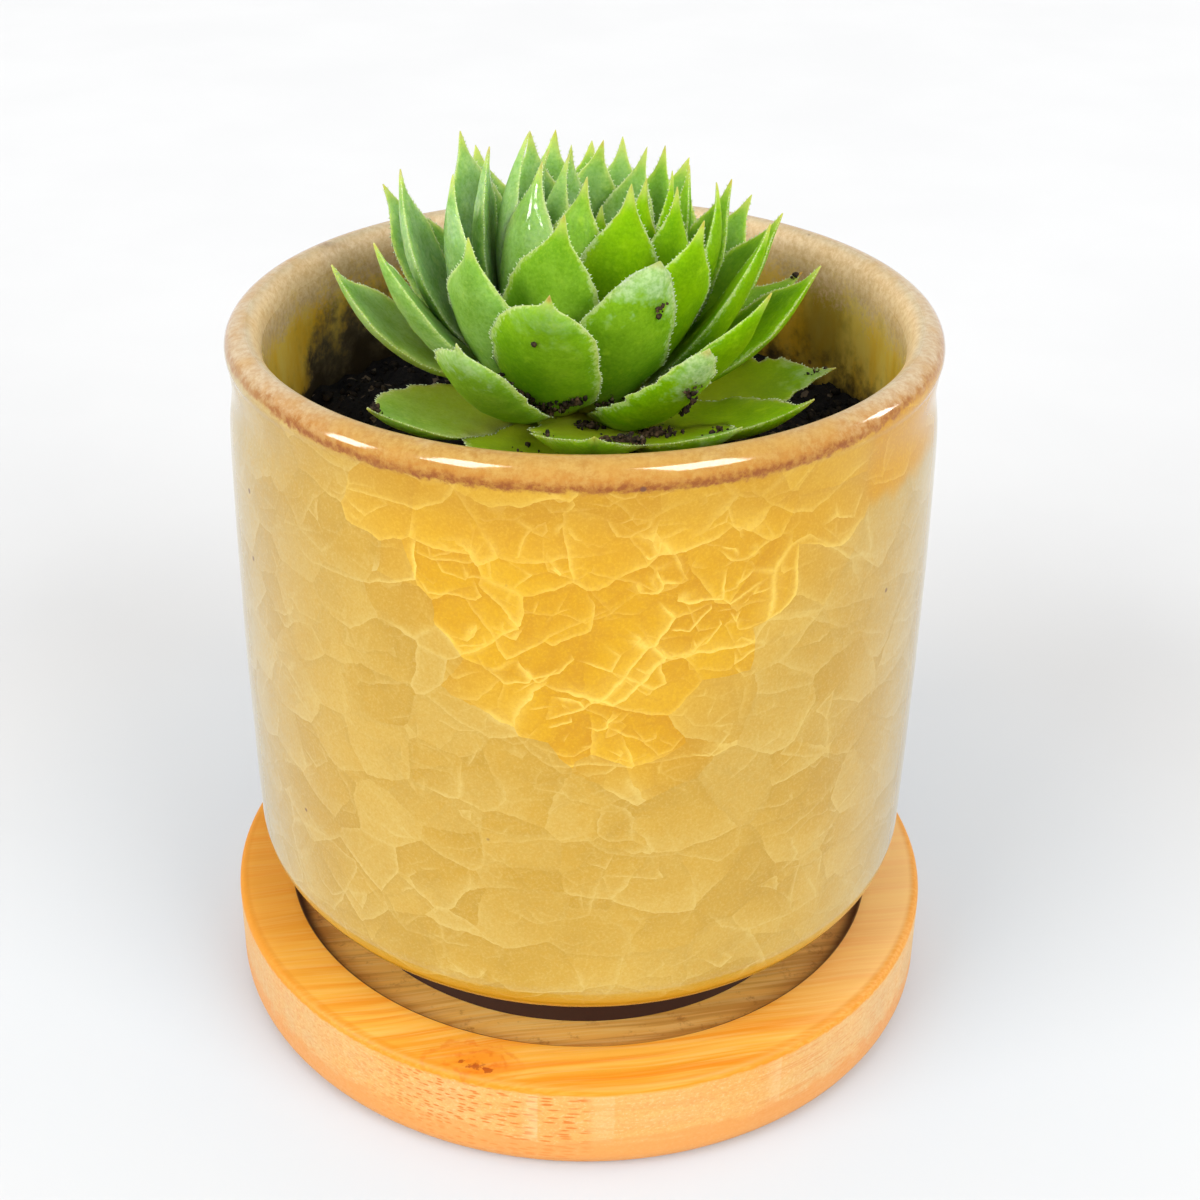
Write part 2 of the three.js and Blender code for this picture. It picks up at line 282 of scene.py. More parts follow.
def make_piece(name, points, faces, material, replaced=None, attributes=None):
    mesh = new_mesh(name, points, faces, material)
    mesh.polygons.foreach_set("use_smooth", [True] * len(mesh.polygons))
    for key, values in (attributes or {}).items():
        layer = mesh.attributes.new(key, "FLOAT", "POINT")
        layer.data.foreach_set("value", np.asarray(values, np.float32))
    mesh.update()
    piece = new_object(name, mesh)
    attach(piece, "root")
    if replaced:
        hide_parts(replaced)


class Material:
    """A node material, with one short method for each kind of node. Lengths in millimetres."""

    def __init__(self, name):
        self.material = bpy.data.materials.new(name)
        self.material.use_nodes = True
        self.nodes = self.material.node_tree.nodes
        self.links = self.material.node_tree.links
        self.nodes.clear()
        metres = self.add("ShaderNodeTexCoord").outputs["Object"]
        self.place = self.vector("SCALE", metres, scale=1 / MM)

    def add(self, kind, inputs=None, **settings):
        node = self.nodes.new(kind)
        for key, value in settings.items():
            setattr(node, key, value)
        for key, value in (inputs or {}).items():
            if isinstance(value, bpy.types.NodeSocket):
                self.links.new(value, node.inputs[key])
            else:
                node.inputs[key].default_value = value
        return node

    def math(self, operation, a, b=0.0, c=0.0):
        return self.add("ShaderNodeMath", {0: a, 1: b, 2: c}, operation=operation).outputs[0]

    def times(self, first, *others):
        for other in others:
            first = self.math("MULTIPLY", first, other)
        return first

    def plus(self, a, b):
        return self.math("ADD", a, b)

    def larger(self, a, b):
        return self.math("MAXIMUM", a, b)

    def vector(self, operation, a, b=(0, 0, 0), c=(0, 0, 0), scale=1.0):
        node = self.add("ShaderNodeVectorMath", {0: a, 1: b, 2: c, 3: scale}, operation=operation)
        return node.outputs[1 if operation in ("DOT_PRODUCT", "LENGTH", "DISTANCE") else 0]

    def stretched(self, x, y, z):
        return self.vector("MULTIPLY", self.place, (x, y, z))

    def distance(self, x, y, z):
        return self.vector("DISTANCE", self.place, (x, y, z))

    def split(self, vector):
        return self.add("ShaderNodeSeparateXYZ", {0: vector}).outputs

    def join(self, x, y, z):
        return self.add("ShaderNodeCombineXYZ", {0: x, 1: y, 2: z}).outputs[0]

    def fade(self, value, low, high, start=0.0, end=1.0):
        """From start where the value is low to end where it is high, with soft ends."""
        inputs = {0: value, 1: low, 2: high, 3: start, 4: end}
        return self.add("ShaderNodeMapRange", inputs, interpolation_type="SMOOTHSTEP").outputs[0]

    def frayed(self, value, cloud, margin, reach):
        """The value plus -reach to reach, for a cloud from 0.5 - margin to 0.5 + margin."""
        return self.plus(value, self.fade(cloud, 0.5 - margin, 0.5 + margin, -reach, reach))

    @staticmethod
    def colour(value):
        return (*value, 1.0) if isinstance(value, tuple) else value

    def mix(self, share, a, b):
        inputs = {0: share, 6: self.colour(a), 7: self.colour(b)}
        return self.add("ShaderNodeMix", inputs, data_type="RGBA").outputs[2]

    def over(self, base, colour, *shares):
        """The base with a colour laid over it, by the product of the shares."""
        return self.mix(self.times(*shares), base, colour)

    def tint(self, base, colour, value, low, high, most=1.0, *shares):
        """The base with up to most of a colour laid over it as the value goes from low to high."""
        return self.over(base, colour, self.fade(value, low, high, 0.0, most), *shares)

    def noise(self, size, detail=3.0, roughness=0.55, shift=(0, 0, 0), place=None, output="Fac"):
        """Soft noise whose lumps are about as large as size."""
        scaled = self.vector("MULTIPLY_ADD", place or self.place, (1 / size,) * 3, shift)
        inputs = {"Vector": scaled, "Scale": 1.0, "Detail": detail, "Roughness": roughness}
        return self.add("ShaderNodeTexNoise", inputs).outputs[output]

    def shaken(self, place, reach, size, detail, roughness=0.55):
        """The place moved about by noise, and the noise, which is about zero."""
        colour = self.noise(size, detail, roughness, output="Color")
        way = self.vector("SUBTRACT", colour, (0.5, 0.5, 0.5))
        return self.vector("MULTIPLY_ADD", way, (reach,) * 3, place), way

    def cells(self, place, size, shift=(0, 0, 0), feature="F1"):
        """A cell texture, with its place in units of one cell."""
        scaled = self.vector("MULTIPLY_ADD", place, (1 / size,) * 3, shift)
        inputs = {"Vector": scaled, "Scale": 1.0}
        return scaled, self.add("ShaderNodeTexVoronoi", inputs, feature=feature).outputs

    def attribute(self, name):
        return self.add("ShaderNodeAttribute", attribute_name=name).outputs["Fac"]

    def bump(self, height, strength, distance):
        inputs = {"Height": height, "Strength": strength, "Distance": distance * MM}
        return self.add("ShaderNodeBump", inputs).outputs[0]

    def finish(self, **inputs):
        named = {key.replace("_", " "): value for key, value in inputs.items()}
        named["Base Color"] = self.colour(named["Base Color"])
        shader = self.add("ShaderNodeBsdfPrincipled", named)
        output = self.add("ShaderNodeOutputMaterial")
        self.links.new(shader.outputs[0], output.inputs[0])
        return self.material


# The plates of the glaze are this large, and wider than high by the squash
PLATE_SIZE = 7.2
PLATE_SQUASH = 1.2
PLATE_SHIFT = (3.1, 7.7, 1.9)
# The painted reflection of the dark camera side, an amber shield: its middle, the height of its lower
# tip, and how fast it widens upwards
SHIELD_MIDDLE = 2.6
SHIELD_TIP = 44
SHIELD_SLOPE = 0.75
# Dark specks fired into the glaze: place and size
GLAZE_SPECKS = (((4.6, -39.7, 82.2), 0.55), ((7.8, -39.7, 62.4), 0.5))


def crackle(m, place, size, shift, core, reach):
    """Cracked plates: the pale lower edge, the dark upper edge, the slope and the cell of each."""
    scaled, cell = m.cells(place, size, shift)
    edge = m.cells(place, size, shift, "DISTANCE_TO_EDGE")[1]["Distance"]
    inside = m.vector("SUBTRACT", scaled, cell["Position"])
    way = m.vector("NORMALIZE", m.vector("SUBTRACT", cell["Color"], (0.5, 0.5, 1.0)))
    side = m.vector("DOT_PRODUCT", inside, way)
    strength = m.fade(m.split(cell["Color"])[0], 0.1, 0.8, 0.35, 1.0)
    line = m.fade(edge, 0.0, core, 0.8, 0.0)
    glow = m.times(m.math("POWER", m.fade(edge, 0.0, reach, 1.0, 0.0), 2.0), 0.36)
    pale = m.times(m.plus(line, glow), m.fade(side, -0.04, 0.32), strength)
    dark = m.times(m.fade(edge, 0.0, 0.13, 1.0, 0.0), m.fade(side, 0.02, -0.25))
    return pale, dark, side, cell


def plates(m, flat):
    """Plates of four sizes: their edges, the slope and cell of the main ones, and dark chips."""
    pale, dark, slope, cell = crackle(m, flat, PLATE_SIZE, PLATE_SHIFT, 0.075, 0.34)
    small_pale, small_dark, _, chip = crackle(m, flat, 4.6, (11.3, 2.1, 5.2), 0.09, 0.3)
    large_pale = crackle(m, flat, 12.0, (5.7, 9.4, 8.8), 0.045, 0.24)[0]
    fine_pale = crackle(m, flat, 3.1, (1.7, 6.6, 4.4), 0.12, 0.3)[0]
    middle = m.fade(m.distance(4.0, -39.0, 69.0), 24, 12)
    some = m.fade(m.noise(9, 1, shift=(4, 0, 0)), 0.44, 0.56)
    some = m.larger(some, m.times(middle, 0.85))
    few = m.fade(m.noise(5, 1, shift=(1, 7, 0)), 0.46, 0.58)
    fine_pale = m.times(fine_pale, few, m.fade(middle, 0.0, 1.0, 0.4, 0.85))
    pale = m.larger(m.larger(pale, m.times(small_pale, some)), m.larger(large_pale, fine_pale))
    uneven = m.fade(m.noise(13, 2, shift=(0, 9, 4)), 0.36, 0.58, 0.45, 1.0)
    pale = m.times(pale, uneven, m.fade(m.split(m.place)[2], 76.5, 80.5, 1.0, 0.6))
    dark = m.larger(dark, m.times(small_dark, some))
    chips = m.times(m.fade(m.split(chip["Color"])[1], 0.45, 1.0, 0.0, 0.3), some)
    return pale, dark, slope, cell, chips


def dark_reflection_patch(m, flat, plate, wander):
    """Painted reflection of the dark camera side, in deep amber: a shield on the front, and a corner
    at the right.
    """
    x, y, z = m.split(m.place)
    spot = m.vector("SUBTRACT", plate["Position"], PLATE_SHIFT)
    spot = m.vector("SCALE", spot, scale=PLATE_SIZE)
    spot = m.add("ShaderNodeMix", {0: 0.25, 4: spot, 5: flat}, data_type="VECTOR").outputs[1]
    sx, sy, sz = m.split(spot)
    half = m.math("MULTIPLY_ADD", sz, SHIELD_SLOPE / PLATE_SQUASH, -SHIELD_SLOPE * SHIELD_TIP)
    off = m.math("ABSOLUTE", m.math("SUBTRACT", sx, SHIELD_MIDDLE))
    shield = m.times(
        m.fade(m.math("SUBTRACT", half, off), -3.5, 5.0), m.fade(sy, -12, -22),
        m.fade(sz, 50 * PLATE_SQUASH, 54.5 * PLATE_SQUASH), m.fade(z, 74, 83, 1.0, 0.72),
        m.fade(sx, -26, -18.5, 0.15, 1.0),
    )
    low = m.plus(z, m.times(m.vector("LENGTH", wander), 6))
    # The corner at the right is painted reflection too: deep amber where the glaze mirrors the dark
    # beside the camera
    corner = m.times(m.fade(x, 27.2, 30.2), m.fade(low, 76.4, 79.4), m.fade(y, -2, -22))
    return m.larger(shield, corner), corner


def outer_glaze(m):
    """Outside: cracked plates, mustard at the front, paler at the sides as a painted reflection of the
    white room, and deep amber as a painted reflection of the dark camera side.
    """
    x, y, _ = m.split(m.place)
    bent, wander = m.shaken(m.place, 2.2, 8, 2)
    bent, _ = m.shaken(bent, 0.45, 1.3, 2)
    flat = m.vector("MULTIPLY", bent, (1.0, 1.0, PLATE_SQUASH))
    pale, dark, slope, plate, chips = plates(m, flat)
    reflection_patch, corner = dark_reflection_patch(m, flat, plate, wander)
    front = m.larger(m.fade(y, -8, -34), m.fade(y, -4, 22, 0.0, 0.85))
    cloudy = m.fade(m.noise(16, 3), 0.3, 0.7)
    plain = m.mix(cloudy, (0.43, 0.25, 0.026), (0.48, 0.292, 0.04))
    # Paler and greyer at the sides, most at the left: painted reflection of the white room, which also
    # pales the side shades of deep and light below
    aside_sheen = m.mix(cloudy, (0.38, 0.31, 0.155), (0.43, 0.362, 0.2))
    aside_sheen = m.tint(aside_sheen, (0.405, 0.36, 0.23), x, -12, -32, 0.4)
    # Deep amber: painted reflection of the dark camera side, on the front and at the right
    amber = m.mix(cloudy, (0.5, 0.244, 0.001), (0.55, 0.29, 0.001))
    base = m.mix(reflection_patch, m.mix(front, aside_sheen, plain), amber)
    deep = m.mix(front, (0.36, 0.268, 0.105), (0.38, 0.222, 0.024))
    deep = m.mix(reflection_patch, deep, (0.44, 0.195, 0.001))
    light = m.mix(front, (0.48, 0.405, 0.25), (0.56, 0.405, 0.115))
    cream = m.mix(reflection_patch, light, (0.73, 0.505, 0.085))
    light = m.mix(reflection_patch, light, (0.66, 0.405, 0.01))
    tone = m.split(plate["Color"])[1]
    base = m.tint(base, deep, tone, 0.45, 1.0, 0.24)
    base = m.over(base, deep, chips)
    base = m.over(base, deep, dark, 0.45)
    base = m.tint(base, deep, slope, -0.02, -0.4, 0.25)
    base = m.tint(base, light, tone, 0.4, 0.0, 0.25)
    base = m.tint(base, light, slope, 0.05, 0.45, 0.22)
    vivid = m.math("MULTIPLY_ADD", reflection_patch, 0.3, 0.64)
    base = m.over(base, cream, pale, vivid, m.fade(front, 0.0, 1.0, 0.75, 1.05))
    # Painted reflection of the dark camera side, deepest in the corner at the right
    base = m.over(base, (0.46, 0.205, 0.004), corner, 0.55)

    # Mottling finer than the plates
    base = m.tint(base, (0.46, 0.24, 0.012), m.noise(0.7, 2, 0.7), 0.35, 0.75, 0.28)
    grain = m.noise(0.3, 2, 0.7, shift=(6, 1, 0))
    base = m.tint(base, light, grain, 0.45, 0.75, 0.34)
    return m.tint(base, deep, grain, 0.5, 0.25, 0.3)


def inner_glaze(m, grime):
    """Inside: amber with painted shade lower down and at the back right, and near-black towards the
    soil, higher at the back left.
    """
    x, y, z = m.split(m.place)
    pooled = m.noise(4.5, 4, 0.6, place=m.stretched(1.0, 1.0, 0.4))
    base = m.tint((0.94, 0.54, 0.035), (0.98, 0.7, 0.13), pooled, 0.3, 0.7)
    base = m.tint(base, (0.98, 0.76, 0.36), z, 79.5, 84.0, 0.5)
    # Painted shade: darker olive lower down the wall, less at the far left
    lower_shade = m.fade(m.frayed(z, grime, 0.25, 3), 77, 69, 0.0, 0.5)
    base = m.over(base, (0.36, 0.22, 0.02), lower_shade, m.fade(x, -35, -31, 0.1, 1.0))
    shaded = m.vector("DISTANCE", m.stretched(1.0, 1.0, 0.55), (29.5, 20.0, 42.0))
    base = m.tint(base, (0.22, 0.15, 0.01), m.frayed(shaded, grime, 0.25, 2), 7.5, 2.0, 0.55)
    # Near-black towards the soil, up to a height that is greater at the back left
    darkening_height = m.times(m.fade(y, 9, 16), m.fade(x, -12, -22))
    darkening_height = m.math("MULTIPLY_ADD", darkening_height, 8.2, 66.2)
    height = m.frayed(z, grime, 0.25, 4)
    soil = m.tint((0.032, 0.027, 0.024), (0.125, 0.105, 0.075), height, 70, 77)
    base = m.over(base, soil, m.fade(height, darkening_height, m.plus(darkening_height, 8.5), 0.97, 0.0))
    return m.tint(base, (0.3, 0.19, 0.05), grime, 0.56, 0.74, 0.25)


def rim_clay(m, radius, ragged, fleck, cloud):
    """The clay that shows through the thin glaze of the rim."""
    golden = m.mix(fleck, (0.38, 0.19, 0.03), (0.5, 0.315, 0.08))
    # Paler and greyer away from the front: partly the clay's own greyish tone and partly painted
    # reflection of the white room
    pale_clay_and_sheen = m.mix(fleck, (0.48, 0.365, 0.21), (0.61, 0.51, 0.34))
    clay = m.tint(pale_clay_and_sheen, golden, m.split(m.place)[1], -20, -36)
    clay = m.tint(clay, (0.5, 0.275, 0.05), cloud, 0.42, 0.7, 0.55)
    clay = m.tint(clay, (0.58, 0.47, 0.25), cloud, 0.45, 0.25, 0.4)
    stain = m.frayed(m.distance(-29.7, 20.0, 85.5), ragged, 0.3, 2)
    clay = m.tint(clay, (0.2, 0.125, 0.1), stain, 4.0, 1.0, 0.55)
    inner = m.mix(fleck, (0.76, 0.47, 0.2), (0.98, 0.72, 0.42))
    return m.tint(clay, inner, radius, 37.6, 36.4, 0.8)


def with_rim(m, base, radius, level, ragged, grime, fray):
    """The glaze with the bare rim over it, and the rusty line below the rim."""
    _, y, z = m.split(m.place)
    fleck = m.fade(m.noise(0.8, 5, 0.75), 0.3, 0.7)
    cloud = m.noise(4.5, 3, shift=(3, 0, 2))
    broken = m.frayed(m.frayed(z, fray, 0.25, 1.3), grime, 0.25, -1.5)
    sagging = m.plus(level, m.fade(y, -20, -38, -1.0, 0.3))
    outside = m.fade(radius, 37.2, 38.0)
    inputs = {0: outside, 2: m.fade(broken, 79.8, 84.2), 3: m.fade(sagging, 84.6, 86.0)}
    rim = m.add("ShaderNodeMix", inputs, data_type="FLOAT").outputs[0]
    base = m.mix(rim, base, rim_clay(m, radius, ragged, fleck, cloud))
    strong = m.times(outside, m.fade(y, -16, -32, 0.45, 1.0))
    warm = m.times(m.fade(sagging, 84.3, 85.0), m.fade(sagging, 87.6, 85.3), strong)
    base = m.over(base, (0.42, 0.165, 0.02), warm, m.fade(fleck, 0.0, 1.0, 0.9, 0.5))
    rust = m.times(m.fade(sagging, 84.4, 84.9), m.fade(sagging, 86.0, 85.1), strong)
    rust = m.times(rust, m.fade(cloud, 0.25, 0.55, 0.5, 0.95))
    return m.over(base, (0.25, 0.072, 0.008), rust, m.fade(fleck, 0.0, 1.0, 1.25, 0.4))


def glaze_material():
    m = Material("crackle glaze")
    x, y, z = m.split(m.place)
    radius = m.vector("LENGTH", m.join(x, y, 0.0))
    grime = m.noise(4, 5, 0.65, shift=(2, 3, 1))
    fray = m.noise(0.5, 2, 0.6, shift=(3, 3, 3))
    ragged = m.noise(1.2, 4, 0.65, shift=(1, 1, 1))
    level = m.frayed(z, ragged, 0.3, 0.4)
    base = m.tint(outer_glaze(m), inner_glaze(m, grime), radius, 36.6, 36.0)
    base = with_rim(m, base, radius, level, ragged, grime, fray)

    # Glaze pooled at the lower edge, and the unglazed clay below it, darkened to near black as painted
    # shade in the gap under the pot
    base = m.tint(base, (0.52, 0.245, 0.002), z, 23.5, 19.5, 1.0, m.fade(radius, 30, 31))
    bare_foot_shade = m.fade(level, 16.0, 15.2)
    base = m.mix(bare_foot_shade, base, (0.045, 0.018, 0.014))

    # A few dark specks fired into the glaze
    pit = m.cells(m.place, 9, (0.4, 0.2, 0.7))[1]["Distance"]
    base = m.tint(base, (0.12, 0.05, 0.03), pit, 0.045, 0.025, 0.75)
    for spot, size in GLAZE_SPECKS:
        mark = m.plus(m.distance(*spot), m.fade(fray, 0.0, 0.5, -0.6, 0.3))
        base = m.tint(base, (0.13, 0.045, 0.03), mark, size, size / 3, 0.8)

    # Glassy, but duller where it thins on the inner half of the rim
    dull = m.times(m.fade(radius, 38.0, 37.4), m.fade(z, 84, 85), 0.45)
    rough = m.larger(m.fade(bare_foot_shade, 0.0, 1.0, 0.1, 0.75), dull)
    skin = m.bump(m.noise(2.2, 2), 0.12, 0.15)
    return m.finish(Base_Color=base, Roughness=rough, IOR=1.5, Specular_IOR_Level=0.36, Normal=skin)


# Pale blocks in the side of the cane: where each starts and ends in x, and how clear it is
PALE_BLOCKS = ((-6.4, -4.0, 0.45), (1.0, 4.6, 0.25), (21.3, 23.6, 0.4))
# The node of the cane, and the scars on it: x, y and size
KNOT_PLACE = (-11.5, -39.8, SAUCER_HEIGHT)
KNOT_SCARS = ((-11.2, -40.4, 0.75), (-9.9, -41.0, 0.4), (-12.7, -39.6, 0.35))


def with_side(m, base, radius, worn, across, grain):
    """The side, cut across the fibres, but planed along them between two seams at the right."""
    x, y, z = m.split(m.place)
    broad, middle, fine = grain
    # Painted shade: a deeper orange on the rounded top edge, to damp the highlight it catches
    brow_shade = m.times(m.fade(radius, 42.4, 43.3), m.fade(worn, 11.2, 11.6))
    base = m.over(base, (0.62, 0.228, 0.004), brow_shade, m.fade(fine, 0.3, 0.7, 0.95, 0.7))
    side = m.times(m.fade(radius, 43.0, 43.6), m.fade(worn, 11.6, 11.2))
    cut = m.tint((0.6, 0.345, 0.115), (0.57, 0.365, 0.165), m.math("ABSOLUTE", x), 18, 38)
    base = m.over(base, cut, side, m.fade(broad, 0.25, 0.7, 0.62, 0.9))
    pores = m.noise(0.42, 2, 0.65, (8, 3, 2), m.stretched(1.0, 1.0, 1.3))
    base = m.tint(base, (0.58, 0.225, 0.06), pores, 0.52, 0.7, 0.4, side)
    base = m.tint(base, (0.72, 0.52, 0.27), pores, 0.48, 0.3, 0.35, side)

    # The cut ends of the fibre bundles
    run = m.math("SUBTRACT", m.times(across, 0.8), m.times(x, 0.32))
    inputs = {"Vector": m.join(run, m.times(z, 2.5), 0.0), "Scale": 1.0, "Randomness": 0.95}
    bundle = m.add("ShaderNodeTexVoronoi", inputs, voronoi_dimensions="2D").outputs
    dot = m.fade(bundle["Distance"], 0.44, 0.2)
    dot = m.times(dot, m.fade(m.split(bundle["Color"])[0], 0.1, 0.6))
    planed = m.times(m.fade(x, 0.5, 2.5), m.fade(x, 21.5, 20.5))
    strong = m.times(m.fade(x, -26, -15, 0.25, 0.95), m.fade(x, 1, 21, 1.0, 0.3))
    strong = m.times(strong, m.fade(y, -10, -20), m.math("MULTIPLY_ADD", planed, -0.9, 1.0))
    base = m.over(base, (0.58, 0.165, 0.018), dot, strong, side)
    above = m.fade(z, 4, 5)
    for left, right, clear in PALE_BLOCKS:
        block = m.times(m.fade(x, left, left + 1.8), m.fade(x, right, right - 0.3), side, above)
        base = m.over(base, (0.7, 0.5, 0.25), block, m.fade(fine, 0.3, 0.7, 0.5 * clear, clear))
    return m.tint(base, (0.64, 0.25, 0.056), m.frayed(z, middle, 0.2, 0.8), 6.0, 3.6, 0.7)


def with_knot(m, base, worn):
    """A node of the cane, which crosses the top at the front left."""
    wrung, _ = m.shaken(m.place, 5.0, 3.0, 3, 0.6)
    wrung = m.vector("SUBTRACT", wrung, KNOT_PLACE)
    knot = m.vector("LENGTH", m.vector("MULTIPLY", wrung, (0.62, 1.0, 0.8)))
    on_top = m.fade(worn, 11.2, 11.7)
    base = m.tint(base, (0.8, 0.215, 0.001), knot, 4.4, 0.8, 0.6, on_top)
    swirl = m.times(m.fade(m.math("SINE", m.times(knot, 4.3)), -0.4, 1.0), on_top)
    swirl = m.times(swirl, m.fade(knot, 4.6, 2.2), m.fade(m.noise(1.5, 2), 0.35, 0.6))
    base = m.over(base, (0.7, 0.145, 0.001), swirl, 0.55)
    for x, y, size in KNOT_SCARS:
        scar = m.vector("SUBTRACT", m.place, (x, y, SAUCER_HEIGHT))
        scar = m.vector("LENGTH", m.vector("MULTIPLY", scar, (0.6, 1.0, 1.0)))
        scar = m.frayed(scar, m.noise(0.6, 3), 0.3, 0.4)
        base = m.tint(base, (0.36, 0.06, 0.003), scar, size, size / 4, 0.8)
    return base


def with_recess(m, base, radius, grain):
    """The recess, dull and a little dirty, with painted shade along its outer edge and a dark painted
    line where it meets the top.
    """
    x, _, z = m.split(m.place)
    _, middle, fine = grain
    dirt = m.noise(2.2, 5, 0.7, shift=(5, 5, 0))
    recess = m.times(m.fade(radius, 37.0, 36.7), m.fade(z, 12.1, 11.4))
    base = m.over(base, (0.96, 0.56, 0.15), recess, 0.5)
    base = m.tint(base, (0.52, 0.24, 0.04), middle, 0.42, 0.66, 0.55, recess)
    base = m.tint(base, (0.92, 0.6, 0.2), fine, 0.45, 0.7, 0.4, recess)
    base = m.tint(base, (0.4, 0.135, 0.022), dirt, 0.54, 0.72, 0.65, recess)
    # Painted shade on the floor along the recess wall, most at the left and right
    ends = m.larger(m.fade(x, -6, -20, 0.45, 1.0), m.fade(x, 12, 24, 0.2, 0.9))
    base = m.tint(base, (0.05, 0.026, 0.014), radius, 35.0, 36.4, 0.92, recess, ends)
    # A dark line round the recess's upper edge: painted shade of the recess wall
    ends = m.larger(m.fade(x, 0, -14, 0.35, 0.9), m.fade(x, 8, 18, 0.0, 0.8))
    brink_shade = m.times(m.fade(radius, 37.1, 37.0), m.fade(z, 11.2, 11.6), ends)
    return m.mix(brink_shade, base, (0.075, 0.035, 0.02))


def bamboo_material():
    m = Material("bamboo")
    turn = math.radians(GRAIN_TURN)
    along = m.vector("DOT_PRODUCT", m.place, (math.cos(turn), math.sin(turn), 0.0))
    across = m.vector("DOT_PRODUCT", m.place, (-math.sin(turn), math.cos(turn), 0.0))
    across = m.plus(across, m.times(m.noise(30, 1), 4))
    x, y, z = m.split(m.place)

    def fibres(stretch, size, detail, shift):
        place = m.join(m.times(along, 1 / stretch), across, z)
        return m.noise(size, detail, 0.6, shift, place)

    broad = fibres(20, 3.8, 2, (1, 0, 0))
    middle = fibres(24, 1.1, 2, (0, 2, 0))
    fine = fibres(30, 0.35, 1, (0, 0, 3))
    grain = broad, middle, fine
    base = m.tint((0.74, 0.29, 0.01), (0.86, 0.46, 0.062), broad, 0.3, 0.7)
    base = m.tint(base, (0.78, 0.24, 0.002), middle, 0.42, 0.7, 0.62)
    base = m.tint(base, (0.86, 0.56, 0.16), fine, 0.4, 0.75, 0.42)
    # Paler towards the right: painted sheen
    base = m.tint(base, (0.86, 0.61, 0.27), x, 18, 43, 0.6)
    base = m.tint(base, (0.66, 0.265, 0.01), x, -24, -40, 0.55)
    flame = m.fade(fibres(26, 2.4, 2, (4, 4, 0)), 0.53, 0.66)
    base = m.over(base, (0.8, 0.215, 0.001), flame, m.fade(y, -30, -38), 0.6)
    radius = m.vector("LENGTH", m.join(x, y, 0.0))
    worn = m.frayed(z, fine, 0.2, 0.12)
    base = with_side(m, base, radius, worn, across, grain)
    base = with_knot(m, base, worn)
    base = with_recess(m, base, radius, grain)
    rough = m.fade(fine, 0.2, 0.8, 0.42, 0.62)
    grooves = m.bump(m.plus(fine, middle), 0.25, 0.06)
    return m.finish(Base_Color=base, Roughness=rough, Specular_IOR_Level=0.25, Normal=grooves)


# What each point of a leaf tells its material, from 0 to 1, and across from -1 to 1
LEAF_MEASURES = ("share", "across", "blue_and_sheen", "dry", "wet", "age", "bruise")


def leaf_material():
    m = Material("leaf skin")
    share, across, blue_and_sheen, dry, wet, age, bruise = (m.attribute(name) for name in LEAF_MEASURES)
    mottle = m.noise(3.5, 4, 0.6)
    fine = m.noise(0.5, 2, 0.6)
    bloom = m.noise(2.2, 3, 0.65, shift=(7, 1, 3))
    grain = m.noise(0.32, 2, 0.7, shift=(2, 8, 5))
    green = m.tint((0.136, 0.303, 0.001), (0.2, 0.388, 0.001), mottle, 0.3, 0.7)
    # Leaves turned from the bright side: their own bloom, with a painted sheen of the pale room
    bluish_sheen = m.tint((0.185, 0.34, 0.085), (0.29, 0.46, 0.195), mottle, 0.3, 0.7)
    frost = m.mix(blue_and_sheen, (0.33, 0.53, 0.012), (0.44, 0.6, 0.2))
    base = m.mix(blue_and_sheen, green, bluish_sheen)
    base = m.tint(base, (0.37, 0.48, 0.07), share, 0.38, 0.1, 0.55)
    base = m.tint(base, (0.5, 0.36, 0.03), share, 0.17, 0.05, 0.6)
    base = m.tint(base, frost, bloom, 0.54, 0.76, 0.55)
    base = m.tint(base, (0.085, 0.235, 0.001), fine, 0.38, 0.72, 0.36)
    base = m.tint(base, frost, grain, 0.42, 0.74, 0.25)
    margin = m.plus(m.math("ABSOLUTE", across), m.fade(fine, 0.25, 0.75, -0.09, 0.07))
    base = m.tint(base, (0.5, 0.65, 0.27), margin, 0.84, 0.99, 0.62)
    sound = m.math("SUBTRACT", 1.0, bruise)
    base = m.tint(base, (0.42, 0.51, 0.14), share, 0.88, 0.97, 0.6, sound)
    pallor = m.tint((0.27, 0.42, 0.2), (0.52, 0.66, 0.42), fine, 0.3, 0.7)
    crumple = m.frayed(share, bloom, 0.2, 0.1)
    base = m.tint(base, pallor, crumple, 0.74, 0.92, 0.62, bruise)
    base = m.tint(base, (0.32, 0.15, 0.055), share, 0.955, 0.99, 1.0, dry)
    base = m.tint(base, (0.42, 0.43, 0.015), age, 0.78, 0.92, 0.55, m.fade(share, 1.0, 0.25))
    relief = m.plus(m.noise(0.45, 3, 0.65), m.times(mottle, 1.6))
    return m.finish(
        Base_Color=base, Roughness=0.5, Normal=m.bump(relief, 0.32, 0.16), Specular_IOR_Level=0.035,
        Subsurface_Weight=0.65, Subsurface_Radius=(0.8, 1.0, 0.15), Subsurface_Scale=4 * MM,
        Coat_Weight=m.times(wet, m.fade(bloom, 0.4, 0.55)), Coat_Roughness=0.06,
    )


def hair_material():
    m = Material("leaf hairs")
    base = m.mix(m.noise(1.5), (0.46, 0.62, 0.26), (0.72, 0.8, 0.52))
    return m.finish(Base_Color=base, Roughness=0.5)


def soil_material(name, dark, light):
    m = Material(name)
    base = m.tint(dark, light, m.noise(1.4, 4, 0.7), 0.35, 0.75)
    grit = m.split(m.cells(m.place, 0.8)[1]["Color"])[0]
    base = m.tint(base, (0.22, 0.17, 0.12), grit, 0.93, 0.97, 0.5)
    grain = m.bump(m.noise(0.5, 3, 0.7), 0.7, 0.35)
    return m.finish(Base_Color=base, Roughness=0.85, Specular_IOR_Level=0.1, Normal=grain)


